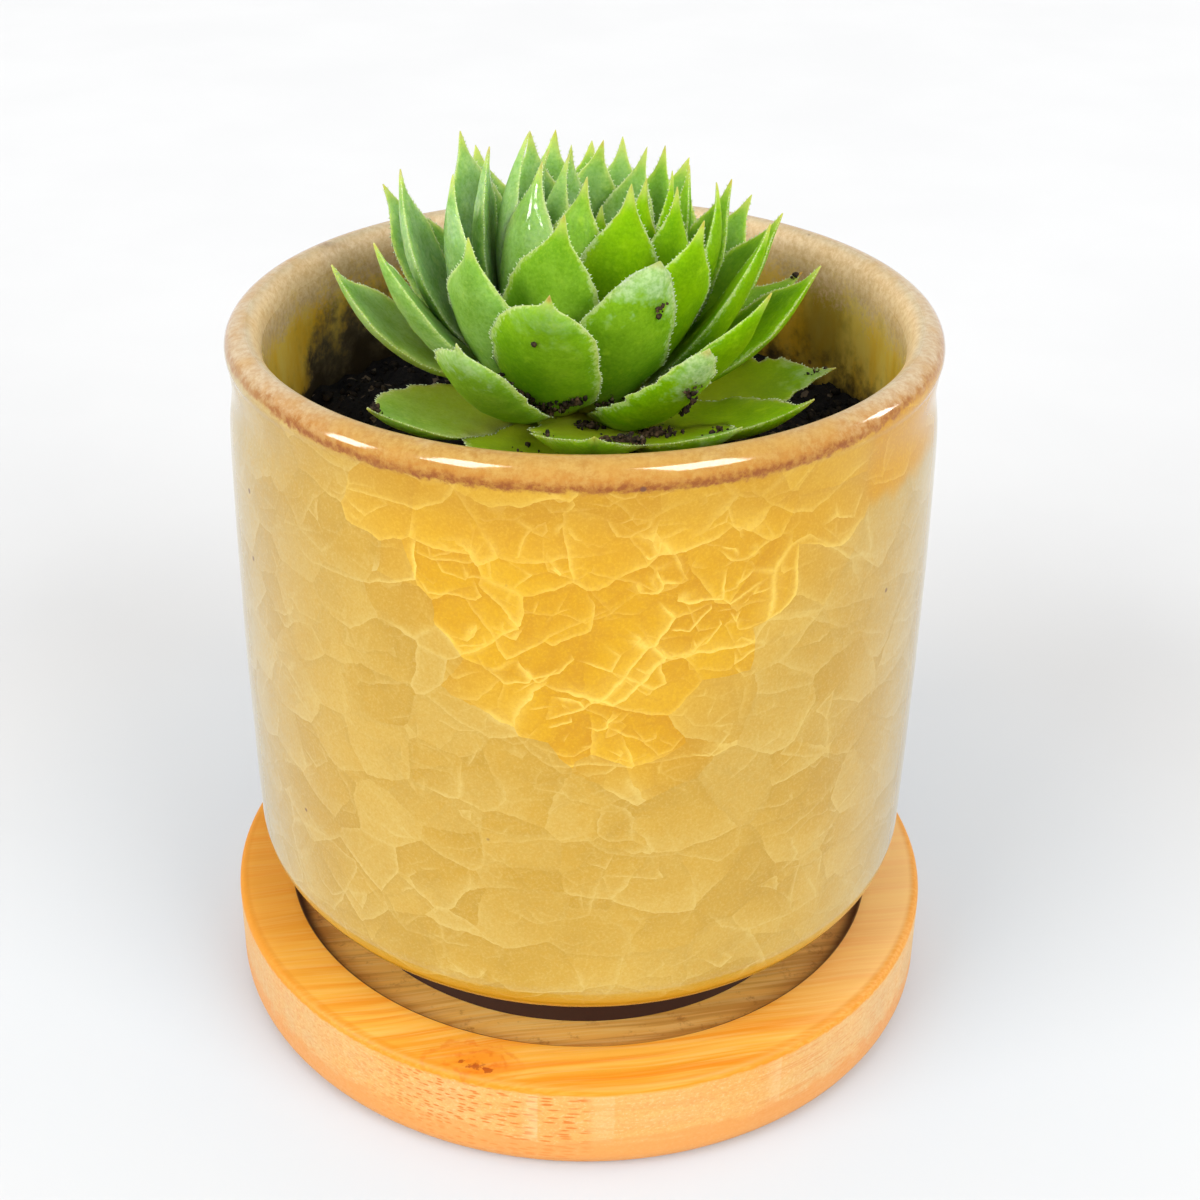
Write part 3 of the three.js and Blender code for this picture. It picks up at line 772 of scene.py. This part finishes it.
def stock_material():
    m = Material("stock bark")
    ribs = m.noise(0.9, 4, 0.7, place=m.stretched(1.0, 1.0, 0.25))
    base = m.tint((0.09, 0.05, 0.025), (0.3, 0.2, 0.1), ribs, 0.3, 0.7)
    return m.finish(Base_Color=base, Roughness=0.9, Normal=m.bump(ribs, 0.6, 0.3))


def floor_material():
    m = Material("white table")
    base = m.tint((0.68, 0.683, 0.687), (0.697, 0.7, 0.703), m.noise(60, 3), 0.3, 0.7)
    # Bluer and darker near the saucer: painted shade round it, which also takes out the orange light
    # it throws on the table
    away = m.distance(0, 0, 0)
    base = m.tint(base, (0.648, 0.686, 0.726), away, 110, 50)
    base = m.tint(base, (0.605, 0.672, 0.745), away, 66, 44, 0.6)
    return m.finish(Base_Color=base, Roughness=0.85)


def circle(centre, reach, height, sides):
    """Points round a level circle."""
    angles = [2 * math.pi * j / sides for j in range(sides)]
    return [(centre[0] + reach * math.cos(a), centre[1] + reach * math.sin(a), height) for a in angles]


def turned(profile, sides, wave=0.0):
    """Points of a body turned about Z, with a faint unevenness of the hand or the kiln."""
    points = []
    for radius, height in profile:
        for x, y, _ in circle((0, 0), radius, height, sides):
            spot = (x / WAVE_SIZE, y / WAVE_SIZE, height / WAVE_SIZE)
            swell = 1 + wave * noise.noise(spot) / radius
            points.append((x * swell, y * swell, height))
    return points


def pot_profile():
    """The section of the pot, from its drain hole under the foot, over the rim and back."""
    corner = (POT_RADIUS - POT_TAPER - CORNER_REACH, CORNER_FLOOR + CORNER_RISE)
    foot_angle = -math.degrees(math.acos((FOOT_RADIUS - corner[0]) / CORNER_REACH))
    rim = (RIM_RADIUS - RIM_TUBE, POT_STAND + POT_HEIGHT - RIM_TUBE)
    lip = (rim[0], POT_STAND + POT_HEIGHT - LIP_EASE)
    inner_corner = (BORE_RADIUS - INNER_CORNER_REACH, POT_FLOOR + INNER_CORNER_RISE)
    foot_inside = FOOT_RADIUS - FOOT_WIDTH
    foot_top = POT_STAND + FOOT_RECESS
    rim_curve = arc(rim, RIM_TUBE, RIM_TUBE, -RIM_UNDERCUT, 90, 17)
    wall = smooth_curve([
        (POT_RADIUS - POT_TAPER, corner[1]), (POT_RADIUS, BULGE_HEIGHT),
        (POT_RADIUS - BULGE_FALL, BULGE_TOP), (POT_RADIUS - POT_TAPER, SHOULDER_HEIGHT),
        (NECK_RADIUS, rim[1] - NECK_DROP), rim_curve[0],
    ], 12)
    return [
        (DRAIN_RADIUS, foot_top), (15.0, foot_top), (foot_inside - 0.9, foot_top),
        (foot_inside - 0.4, foot_top - 0.5), (foot_inside, POT_STAND + 0.25),
        (foot_inside + 0.3, POT_STAND), (FOOT_RADIUS - 0.4, POT_STAND),
        (FOOT_RADIUS - 0.1, POT_STAND + 0.15),
        *arc(corner, CORNER_REACH, CORNER_RISE, foot_angle, 0, 26)[:-1],
        *wall,
        *rim_curve[1:],
        *arc(lip, rim[0] - BORE_RADIUS, LIP_EASE, 90, 180, 14)[1:],
        *straight((BORE_RADIUS, lip[1] - 1), (BORE_RADIUS, inner_corner[1]), 26),
        *arc(inner_corner, INNER_CORNER_REACH, INNER_CORNER_RISE, 0, -90, 10),
        (DRAIN_RADIUS, POT_FLOOR),
    ]


def make_pot():
    sides = 300
    profile = pot_profile()
    points = turned(profile, sides, WALL_WAVE)
    faces = ring_faces(len(profile), sides, True)
    make_piece("glazed_pot", points, faces, glaze_material(), "pot")


def make_saucer():
    sides = 240
    foot = (SAUCER_RADIUS - SAUCER_FOOT_ROUND, SAUCER_FOOT_ROUND)
    shoulder = (SAUCER_RADIUS - SAUCER_TOP_ROUND, SAUCER_HEIGHT - SAUCER_TOP_ROUND)
    floor = POT_STAND
    ease = RECESS_EASE
    profile = [
        *straight((8, 0), (foot[0], 0), 4),
        *arc(foot, SAUCER_FOOT_ROUND, SAUCER_FOOT_ROUND, -90, 0, 8),
        *straight((SAUCER_RADIUS, 4), (SAUCER_RADIUS, shoulder[1]), 6),
        *arc(shoulder, SAUCER_TOP_ROUND, SAUCER_TOP_ROUND, 0, 90, 6),
        *straight((41.5, SAUCER_HEIGHT), (RECESS_RADIUS + ease, SAUCER_HEIGHT), 5),
        *arc((RECESS_RADIUS + ease, SAUCER_HEIGHT - ease), ease, ease, 90, 180, 4),
        (RECESS_RADIUS, floor + 0.9), (RECESS_RADIUS, floor + 0.15), (RECESS_RADIUS - 0.15, floor),
        (34.0, floor), (28.0, floor), (16.0, floor), (6.0, floor),
    ]
    points, faces = closed_body(turned(profile, sides), sides, (0, 0, 0), (0, 0, floor))
    make_piece("bamboo_saucer", points, faces, bamboo_material(), "saucer")


def lean(age):
    """The turn and the place of the rosette for leaves of an age."""
    inner = 1 - min(age, 1)
    x, y = (math.radians(a + (b - a) * inner) for a, b in zip(OUTER_LEAN, HEART_LEAN))
    turn = Matrix.Rotation(y, 3, "Y") @ Matrix.Rotation(x, 3, "X")
    x, y = (centre + shift * inner for centre, shift in zip(CROWN_CENTRE, HEART_SHIFT))
    return np.array(turn), np.array((x, y, CROWN_TOP))


def leaf_root(age):
    """How far out and how high, from the top of the crown, a leaf of an age is rooted."""
    outward = min(age / CROWN_FULL_AGE, 1)
    return CROWN_RADIUS * outward * (2 - outward), -CROWN_DROP * age ** CROWN_DROP_POWER


base_turn, base_place = lean(1)
STEM_CENTRE = tuple((base_turn @ (0, 0, leaf_root(1)[1]) + base_place)[:2])


class Leaf:
    """One leaf of the spiral, by the same rule as the part's solids."""

    def __init__(self, leaf):
        self.number = leaf
        self.age = age = (leaf + 0.5) / AGE_SPAN
        turn, lift = LEAF_HABITS.get(leaf, (0, 0))
        self.root = leaf_root(age)
        self.azimuth = math.radians(SPIRAL_START + (leaf - BUD_LEAVES) * SPIRAL_TURN + turn)
        grown = YOUNG_LENGTH + LENGTH_GAIN * math.sqrt(min(1, age / FULL_LENGTH_AGE))
        withering = max(0, (age - WITHER_AGE) / (1 - WITHER_AGE))
        length = BUD_LENGTH + BUD_LENGTH_STEP * leaf if leaf < BUD_LEAVES else grown
        self.length = length - WITHER_LOSS * withering ** 2
        broadening = min(1, age / FULL_WIDTH_AGE) ** WIDTH_POWER
        self.width = (YOUNG_WIDTH + WIDTH_GAIN * broadening) * (1 + WIDTH_SPREAD * draw(leaf, 1))
        self.thickness = YOUNG_THICKNESS + THICKNESS_GAIN * min(1, age / FULL_THICKNESS_AGE)
        self.curl = math.radians(LEAF_CURL + CURL_SPREAD * draw(leaf, 2))
        self.twist = math.radians(TWIST_SPREAD * draw(leaf, 3))
        self.first = math.radians(HEART_LIFT - LIFT_FALL * age ** LIFT_POWER + lift) - self.curl / 2
        self.turn, self.place = lean(age)
        self.stations, longer, wider = LEAF_FORMS.get(leaf, (LEAF_STATIONS, 1.0, 1.0))
        self.length *= longer
        self.width *= wider
        bends = (TIP_SPREAD[0] * draw(leaf, 4), TIP_SPREAD[1] * draw(leaf, 7))
        self.bend, self.hook = TIP_BENDS.get(leaf, bends)
        self.path = self.length * (self.curl / 2) / math.sin(self.curl / 2)

    def frame(self, share):
        """The midrib's point, and the directions along, sideways and inwards, at a share."""
        angle = self.first + self.curl * share
        reach = self.root[0] + self.path * (math.sin(angle) - math.sin(self.first)) / self.curl
        rise = self.root[1] - self.path * (math.cos(angle) - math.cos(self.first)) / self.curl
        x, y = math.cos(self.azimuth), math.sin(self.azimuth)
        out, across, up = np.array([x, y, 0]), np.array([-y, x, 0]), np.array([0, 0, 1.0])
        along = out * math.cos(angle) + up * math.sin(angle)
        inner = up * math.cos(angle) - out * math.sin(angle)
        roll = self.twist * share
        side = across * math.cos(roll) + inner * math.sin(roll)
        inner = inner * math.cos(roll) - across * math.sin(roll)
        centre = out * reach + up * rise
        tipwards = max(0.0, (share - TIP_START) / (1 - TIP_START)) ** TIP_POWER
        centre = centre + side * self.bend * tipwards + inner * self.hook * tipwards
        turn = self.turn
        return turn @ centre + self.place, turn @ along, turn @ side, turn @ inner

    def size(self, share):
        """Half the width and half the thickness at a share."""
        stations = np.array(self.stations)
        width, thickness = (smooth_at(share, stations[:, 0], stations[:, i]) for i in (1, 2))
        return self.width * width / 2, self.thickness * thickness / 2

    def waver(self, share, across):
        """The uneven run of the margin: a factor for the half width, next to 1."""
        edge = math.copysign(MARGIN_SHIFT, across)
        slow, fine, torn = (
            height * noise.noise((share * waves, edge, self.number * shift))
            for waves, height, shift in (SLOW_WAVE, FINE_WAVE, TORN_WAVE)
        )
        torn *= RAGGED_LEAVES.get(self.number, 0.0)
        return 1 + abs(across) * min(1.0, 4 * share) * (slow + fine + torn)

    def point(self, share, across, inward):
        """A point on the leaf's skin. inward is 1 on the inner face and -1 on the outer."""
        centre, _, side, inner = self.frame(share)
        half_width, half_thickness = self.size(share)
        half_width *= self.waver(share, across)
        height, flatness = FACE if inward > 0 else KEEL
        through = inward * height * (1 - abs(across) ** flatness)
        lifted = half_thickness * through + half_width * LEAF_CUP * across ** 2
        return centre + side * half_width * across + inner * lifted


def smooth_at(value, xs, ys):
    """A smooth curve through the stations, without overshoot, at one value."""
    i = int(np.clip(np.searchsorted(xs, value) - 1, 0, len(xs) - 2))
    slopes = np.diff(ys) / np.diff(xs)
    ends = []
    for j in (i, i + 1):
        before, after = slopes[max(j - 1, 0)], slopes[min(j, len(slopes) - 1)]
        ends.append(2 * before * after / (before + after) if before * after > 0 else 0.0)
    width = xs[i + 1] - xs[i]
    t = (value - xs[i]) / width
    rise = ys[i + 1] - ys[i]
    start, end = width * ends[0], width * ends[1]
    bend, turn = 3 * rise - 2 * start - end, start + end - 2 * rise
    return ys[i] + t * (start + t * (bend + t * turn))


def leaf_rings(leaf, stations, sides):
    """Points round the leaf at each station, and where each lies on it."""
    points, across_at, share_at = [], [], []
    half = sides // 2
    for i in range(stations):
        share = 1 - (1 - i / (stations - 1)) ** RING_POWER
        for j in range(sides):
            if j < half:
                across, inward = -math.cos(math.pi * j / half), -1
            else:
                across, inward = math.cos(math.pi * (j - half) / half), 1
            point = leaf.point(share, across, inward)
            ripple = noise.noise(Vector(point) * RIPPLE_WAVES + Vector((leaf.number, 0, 0)))
            point = point + leaf.frame(share)[3] * RIPPLE_HEIGHT * ripple * (1 - share)
            points.append(tuple(point))
            across_at.append(across)
            share_at.append(share)
    return points, across_at, share_at


# Leaves that point away from this side are bluer: partly the leaves' own bloom, and partly a painted
# sheen of the pale room
BRIGHT_SIDE = -35
BLUE_GAIN = 1.25
BLUE_LOSS = 0.25
BLUE_SPREAD = 0.18


def blue_and_sheen_of(leaf):
    turned_away = 0.5 - 0.5 * math.cos(leaf.azimuth - math.radians(BRIGHT_SIDE))
    blue_and_sheen = BLUE_GAIN * turned_away - BLUE_LOSS + BLUE_SPREAD * draw(leaf.number, 5)
    return min(1.0, max(0.0, blue_and_sheen))


# Leaves whose tip is dry, and how much. The others are dry by up to twice the usual dryness
DRYNESS = 0.25
DRY_TIPS = {39: 0.9, 46: 1.0, 23: 0.6, 25: 0.7, 36: 0.6, 24: 0.6, 14: 0.6}
# Leaves with a wet film, and how much
WET_LEAVES = {21: 1.0, 29: 0.9, 13: 0.5, 37: 0.4, 24: 0.6}
# Leaves whose end is bruised and pale, and how much
WORN_LEAVES = {31: 1.0, 44: 1.0, 47: 0.7, 54: 0.5, 57: 0.6, 39: 0.3}


def all_leaves():
    return [Leaf(number) for number in range(LEAF_COUNT) if number not in LOST_LEAVES]


def make_leaves():
    stations, sides = 40, 26
    points, faces = [], []
    attributes = {key: [] for key in LEAF_MEASURES}
    for leaf in all_leaves():
        ring, across, share = leaf_rings(leaf, stations, sides)
        ends = (tuple(leaf.frame(at)[0]) for at in (0, 1))
        ring, quads = closed_body(ring, sides, *ends)
        add_solid(points, faces, ring, quads)
        attributes["share"] += share + [0.0, 1.0]
        attributes["across"] += across + [0.0, 0.0]
        whole = {
            "blue_and_sheen": blue_and_sheen_of(leaf),
            "dry": DRY_TIPS.get(leaf.number, DRYNESS + DRYNESS * draw(leaf.number, 6)),
            "wet": WET_LEAVES.get(leaf.number, 0.0),
            "age": leaf.age,
            "bruise": WORN_LEAVES.get(leaf.number, 0.0),
        }
        for key, value in whole.items():
            attributes[key] += [value] * len(ring)
    make_piece("rosette_leaves", points, faces, leaf_material(), "rosette", attributes)


# The hairs: from where to where they stand along a leaf, how far apart, how long, how thick
HAIR_REACH = (0.22, 0.97)
HAIR_STEP = (0.36, 0.60)
HAIR_LENGTH = (0.18, 0.44)
HAIR_FOOT = 0.11
HAIR_JITTER = 0.008
# How much a hair points away from the leaf, towards its tip and inwards
HAIR_WAY = ((0.7, 1.0), (0.35, 0.9), (-0.15, 0.35))
SPIKE_FACES = ((0, 1, 3), (1, 2, 3), (2, 0, 3), (2, 1, 0))


def make_hairs():
    """The fine pale teeth along both margins of every leaf."""
    rng = random.Random(11)
    points, faces = [], []
    for leaf in all_leaves():
        share = HAIR_REACH[0]
        while share < HAIR_REACH[1]:
            for across in (-1, 1):
                at = share + rng.uniform(-HAIR_JITTER, HAIR_JITTER)
                root = leaf.point(at, across * 0.995, -1)
                _, along, side, inner = leaf.frame(at)
                ways = zip((side * across, along, inner), HAIR_WAY)
                way = sum(one * rng.uniform(*much) for one, much in ways)
                way /= np.linalg.norm(way)
                length = rng.uniform(*HAIR_LENGTH) * (1 - 0.3 * at)
                spike = (
                    root + along * HAIR_FOOT, root - along * HAIR_FOOT / 2 + inner * HAIR_FOOT,
                    root - along * HAIR_FOOT / 2 - inner * HAIR_FOOT, root + way * length,
                )
                add_solid(points, faces, spike, SPIKE_FACES)
            share += rng.uniform(*HAIR_STEP) / leaf.length
    make_piece("leaf_hairs", points, faces, hair_material())


def make_crown():
    sides = 48
    points = circle(STEM_CENTRE, STEM_RADIUS + CROWN_FLARE, CROWN_FOOT, sides)
    for age in CROWN_AGES:
        radius, height = leaf_root(age)
        turn, place = lean(age)
        ring = circle((0, 0), radius + CROWN_SKIN, height + CROWN_SKIN, sides)
        points += [tuple(turn @ spot + place) for spot in ring]
    turn, place = lean(0)
    top = tuple(turn @ (0, 0, leaf_root(CROWN_AGES[-1])[1] + 2 * CROWN_SKIN) + place)
    points, faces = closed_body(points, sides, (*STEM_CENTRE, CROWN_FOOT), top)
    attributes = {key: [0.0] * len(points) for key in LEAF_MEASURES}
    attributes["age"] = [1.0] * len(points)
    make_piece("rosette_crown", points, faces, leaf_material(), attributes=attributes)


def soil_height(x, y):
    relief = MOUND_HEIGHT * math.exp(-((math.dist((x, y), STEM_CENTRE) / MOUND_RADIUS) ** 2))
    for height, along_x, along_y, phase in SOIL_WAVES:
        relief += height * math.sin(along_x * x + along_y * y + phase)
    for size, height in SOIL_LUMPS:
        relief += height * noise.noise((x / size, y / size, size))
    return SOIL_LEVEL + relief


def stem_radius(height):
    up = min(1, max(0, (height - ROOT_TIP_HEIGHT) / (SOIL_LEVEL - ROOT_TIP_HEIGHT)))
    return ROOT_TIP_RADIUS + (STEM_RADIUS - ROOT_TIP_RADIUS) * up


def make_soil():
    sides, rings_in = 260, 80
    wall = BORE_RADIUS - SOIL_GAP
    plug = DRAIN_RADIUS - SOIL_GAP
    corner = (wall - INNER_CORNER_REACH, POT_FLOOR + INNER_CORNER_RISE)
    profile = [(plug, DRAIN_PLUG_FLOOR), (plug, POT_FLOOR)]
    profile += arc(corner, INNER_CORNER_REACH, INNER_CORNER_RISE, -90, 0, 6)
    profile += [(wall, 45), (wall, 62)]
    points = turned(profile, sides)
    hole = STEM_RADIUS + STEM_GAP
    for i in range(rings_in + 1):
        inward = i / rings_in
        reach = wall + (hole - wall) * inward
        ring = circle((STEM_CENTRE[0] * inward, STEM_CENTRE[1] * inward), reach, 0, sides)
        points += [(x, y, soil_height(x, y)) for x, y, _ in ring]
    floor = ROOT_TIP_HEIGHT - STEM_GAP
    for height in (64, 50, floor):
        points += circle(STEM_CENTRE, stem_radius(height) + STEM_GAP, height, sides)
    ends = (0, 0, DRAIN_PLUG_FLOOR), (*STEM_CENTRE, floor)
    points, faces = closed_body(points, sides, *ends)
    dark, light = (0.003, 0.003, 0.004), (0.014, 0.012, 0.012)
    material = soil_material("potting soil", dark, light)
    make_piece("potting_soil", points, faces, material, "soil")


def make_stem():
    sides = 40
    heights = [*np.arange(ROOT_TIP_HEIGHT, SOIL_LEVEL, 1.5), SOIL_LEVEL, SOIL_LEVEL + 1.2, CROWN_FOOT]
    x, y = STEM_CENTRE
    points = []
    for height in heights:
        depth = min(1, max(0, (SOIL_LEVEL - height) / LOBE_FADE))
        twist = math.radians(LOBE_TWIST * (SOIL_LEVEL - height))
        for j in range(sides):
            angle = 2 * math.pi * j / sides
            lobe = 1 - LOBE_DEPTH * depth * (1 + math.cos(ROOT_LOBES * angle + twist)) / 2
            reach = stem_radius(height) * lobe
            points.append((x + reach * math.cos(angle), y + reach * math.sin(angle), height))
    points, faces = closed_body(points, sides, (x, y, ROOT_TIP_HEIGHT), (x, y, CROWN_FOOT))
    make_piece("rooted_stock", points, faces, stock_material(), "stem")


GOLDEN = (1 + 5 ** 0.5) / 2
CRUMB_PLANE = [(s, t * GOLDEN, 0) for t in (1, -1) for s in (-1, 1)]
CRUMB_POINTS = np.array([np.roll(corner, i) for i in range(3) for corner in CRUMB_PLANE])
CRUMB_POINTS = CRUMB_POINTS / math.hypot(1, GOLDEN)
CRUMB_FACES = [
    (0, 11, 5), (0, 5, 1), (0, 1, 7), (0, 7, 10), (0, 10, 11), (1, 5, 9), (5, 11, 4),
    (11, 10, 2), (10, 7, 6), (7, 1, 8), (3, 9, 4), (3, 4, 2), (3, 2, 6), (3, 6, 8),
    (3, 8, 9), (4, 9, 5), (2, 4, 11), (6, 2, 10), (8, 6, 7), (9, 8, 1),
]
# How much a crumb is stretched each way, and its corners are pushed in or out
CRUMB_STRETCH = (0.7, 1.3)
CRUMB_PUSH = (0.65, 1.2)
# Crumbs on the soil: how many are tried, how near the wall and the stem, the least size and
# what is added to it at most
CRUMB_TRIES = 2600
CRUMB_MARGIN = (1.0, 1.5)
CRUMB_SIZE = (0.16, 0.75)
LEAF_CRUMB_SIZE = (0.07, 0.34)


def add_crumb(points, faces, centre, size, rng):
    """One lump of twelve corners, each pushed in or out."""
    angle = rng.uniform(0, 6.3)
    turn = Matrix.Rotation(angle, 3, Vector([rng.gauss(0, 1) for _ in range(3)]))
    stretch = np.array([rng.uniform(*CRUMB_STRETCH) for _ in range(3)]) * size
    pushed = (turn @ Vector(corner * rng.uniform(*CRUMB_PUSH)) for corner in CRUMB_POINTS)
    corners = [np.array(corner) * stretch + centre for corner in pushed]
    add_solid(points, faces, corners, CRUMB_FACES)


def make_soil_crumbs():
    rng = random.Random(5)
    points, faces = [], []
    reach = BORE_RADIUS - SOIL_GAP - CRUMB_MARGIN[0]
    for _ in range(CRUMB_TRIES):
        angle, out = rng.uniform(0, 2 * math.pi), reach * math.sqrt(rng.random())
        x, y = out * math.cos(angle), out * math.sin(angle)
        if math.dist((x, y), STEM_CENTRE) < STEM_RADIUS + CRUMB_MARGIN[1]:
            continue
        size = CRUMB_SIZE[0] + CRUMB_SIZE[1] * rng.random() ** 4
        add_crumb(points, faces, np.array([x, y, soil_height(x, y) + size * 0.3]), size, rng)
    dark, light = (0.005, 0.005, 0.005), (0.030, 0.021, 0.015)
    make_piece("soil_crumbs", points, faces, soil_material("soil crumbs", dark, light))


# Where soil lies on the leaves: leaf, share, across, face, spread and half the number of lumps
SPLASHES = [
    (39, 0.27, -0.55, -1, 1.1, 60), (39, 0.25, 0.05, -1, 1.1, 60), (39, 0.34, 0.60, -1, 0.6, 26),
    (39, 0.74, -0.14, -1, 0.2, 2), (31, 0.20, 0.10, -1, 0.5, 14), (31, 0.80, 0.55, -1, 0.4, 9),
    (44, 0.78, 0.20, -1, 0.5, 16), (44, 0.60, 0.70, -1, 0.7, 22), (52, 0.25, 0.14, 1, 0.8, 24),
    (52, 0.58, 0.80, 1, 1.3, 110), (57, 0.45, -0.30, 1, 1.2, 90), (52, 0.60, -0.80, 1, 0.25, 4),
    (55, 0.93, 0.00, 1, 0.6, 12), (54, 0.90, 0.00, 1, 0.5, 7), (46, 0.96, 0.00, 1, 0.3, 6),
    (57, 0.80, 0.20, 1, 0.8, 9), (60, 0.55, 0.40, 1, 1.2, 9),
]


def make_leaf_crumbs():
    rng = random.Random(23)
    points, faces = [], []
    for number, share, across, face, spread, lumps in SPLASHES:
        leaf = Leaf(number)
        half_width = leaf.size(share)[0]
        for _ in range(2 * lumps):
            s = share + rng.gauss(0, spread) / leaf.length
            a = across + rng.gauss(0, spread) / half_width
            s, a = min(0.97, max(0.05, s)), min(0.95, max(-0.95, a))
            size = LEAF_CRUMB_SIZE[0] + LEAF_CRUMB_SIZE[1] * rng.random() ** 2.5
            heap = size * rng.uniform(0.1, 0.8) + 0.5 * spread * rng.random() ** 3
            spot = leaf.point(s, a, face) + leaf.frame(s)[3] * face * heap
            add_crumb(points, faces, spot, size, rng)
    dark, light = (0.010, 0.008, 0.006), (0.120, 0.072, 0.036)
    make_piece("leaf_crumbs", points, faces, soil_material("leaf crumbs", dark, light))


def make_floor():
    half = 3000
    points = [(-half, -half, 0), (half, -half, 0), (half, half, 0), (-half, half, 0)]
    table = new_object("table", new_mesh("table", points, [(0, 1, 2, 3)], floor_material()))


# The camera's place, in metres, and its angles, in radians
CAMERA_PLACE = Vector((0.0, -0.1978668, 0.1652951))
CAMERA_PITCH, CAMERA_YAW, CAMERA_ROLL = 0.4932, -0.0373, 0.0097
CAMERA_LENS = 56.564
CAMERA_SHIFT = (0.075, -0.0583)


def make_camera():
    data = bpy.data.cameras.new("camera")
    data.sensor_width, data.lens = 36, CAMERA_LENS
    data.shift_x, data.shift_y = CAMERA_SHIFT
    data.clip_start, data.clip_end = 0.01, 20
    camera = new_object("camera", data)
    pitch = Matrix.Rotation(math.pi / 2 - CAMERA_PITCH, 4, "X")
    yaw = Matrix.Rotation(-CAMERA_YAW, 4, "Y")
    roll = Matrix.Rotation(CAMERA_ROLL, 4, "Z")
    camera.matrix_world = Matrix.Translation(CAMERA_PLACE) @ pitch @ yaw @ roll
    bpy.context.scene.camera = camera


def add_light(name, kind, place, target, power, size=(1, 1)):
    """A sun, which lights the surfaces, or a window, which is only seen in them."""
    data = bpy.data.lights.new(name, kind)
    data.energy = power
    if kind == "AREA":
        data.shape = "RECTANGLE"
        data.size, data.size_y = size
    else:
        data.angle = math.radians(SUN_SPREAD)
    light = new_object(name, data)
    turn = (Vector(target) - Vector(place)).to_track_quat("-Z", "Y").to_matrix()
    light.matrix_world = Matrix.Translation(Vector(place)) @ turn.to_4x4()
    light.visible_glossy = kind == "AREA"
    light.visible_diffuse = kind == "SUN"


# Wide soft light from both sides of the camera, as from two far windows
SUN_SPREAD = 42
DAYLIGHTS = (
    ("left daylight", (-0.81, -0.62, 0.51), 2.15),
    ("right daylight", (0.75, -0.69, 0.49), 1.85),
)
ROOM_BRIGHTNESS = 0.84
# Bright windows seen in the rim: the place of each on the rim, from the front, the tilt of the
# rim there, and the width and height of the window, in radians
RIM_WINDOWS = [
    (-35, 29, 0.24, 0.34), (-17, 38, 0.27, 0.48), (16.5, 38, 0.38, 0.50), (49, 38, 0.14, 0.26),
]
# In metres
WINDOW_DISTANCE = 0.9
WINDOW_RADIANCE = 24


def make_lights():
    world = bpy.data.worlds.new("white room")
    world.use_nodes = True
    background = world.node_tree.nodes["Background"]
    background.inputs[0].default_value = (1.0, 1.0, 1.0, 1.0)
    background.inputs[1].default_value = ROOM_BRIGHTNESS
    bpy.context.scene.world = world
    for name, place, power in DAYLIGHTS:
        add_light(name, "SUN", place, (0, 0, 0), power)
    for i, (turn, tilt, wide, high) in enumerate(RIM_WINDOWS):
        angle, tilt = math.radians(turn - 90), math.radians(tilt)
        outward = Vector((math.cos(angle), math.sin(angle), 0))
        up = Vector((0, 0, 1))
        normal = outward * math.cos(tilt) + up * math.sin(tilt)
        tube = outward * (RIM_RADIUS - RIM_TUBE) + up * (POT_STAND + POT_HEIGHT - RIM_TUBE)
        spot = (tube + normal * RIM_TUBE) * MM
        view = (CAMERA_PLACE - spot).normalized()
        back = 2 * normal.dot(view) * normal - view
        size = (wide * WINDOW_DISTANCE, high * WINDOW_DISTANCE)
        power = WINDOW_RADIANCE * math.pi * size[0] * size[1]
        add_light(f"window {i}", "AREA", spot + back * WINDOW_DISTANCE, spot, power, size)


def main():
    make_camera()
    make_lights()
    make_floor()
    make_saucer()
    make_pot()
    make_soil()
    make_soil_crumbs()
    make_stem()
    make_crown()
    make_leaves()
    make_hairs()
    make_leaf_crumbs()
    bpy.context.scene.view_settings.view_transform = "Standard"


main()
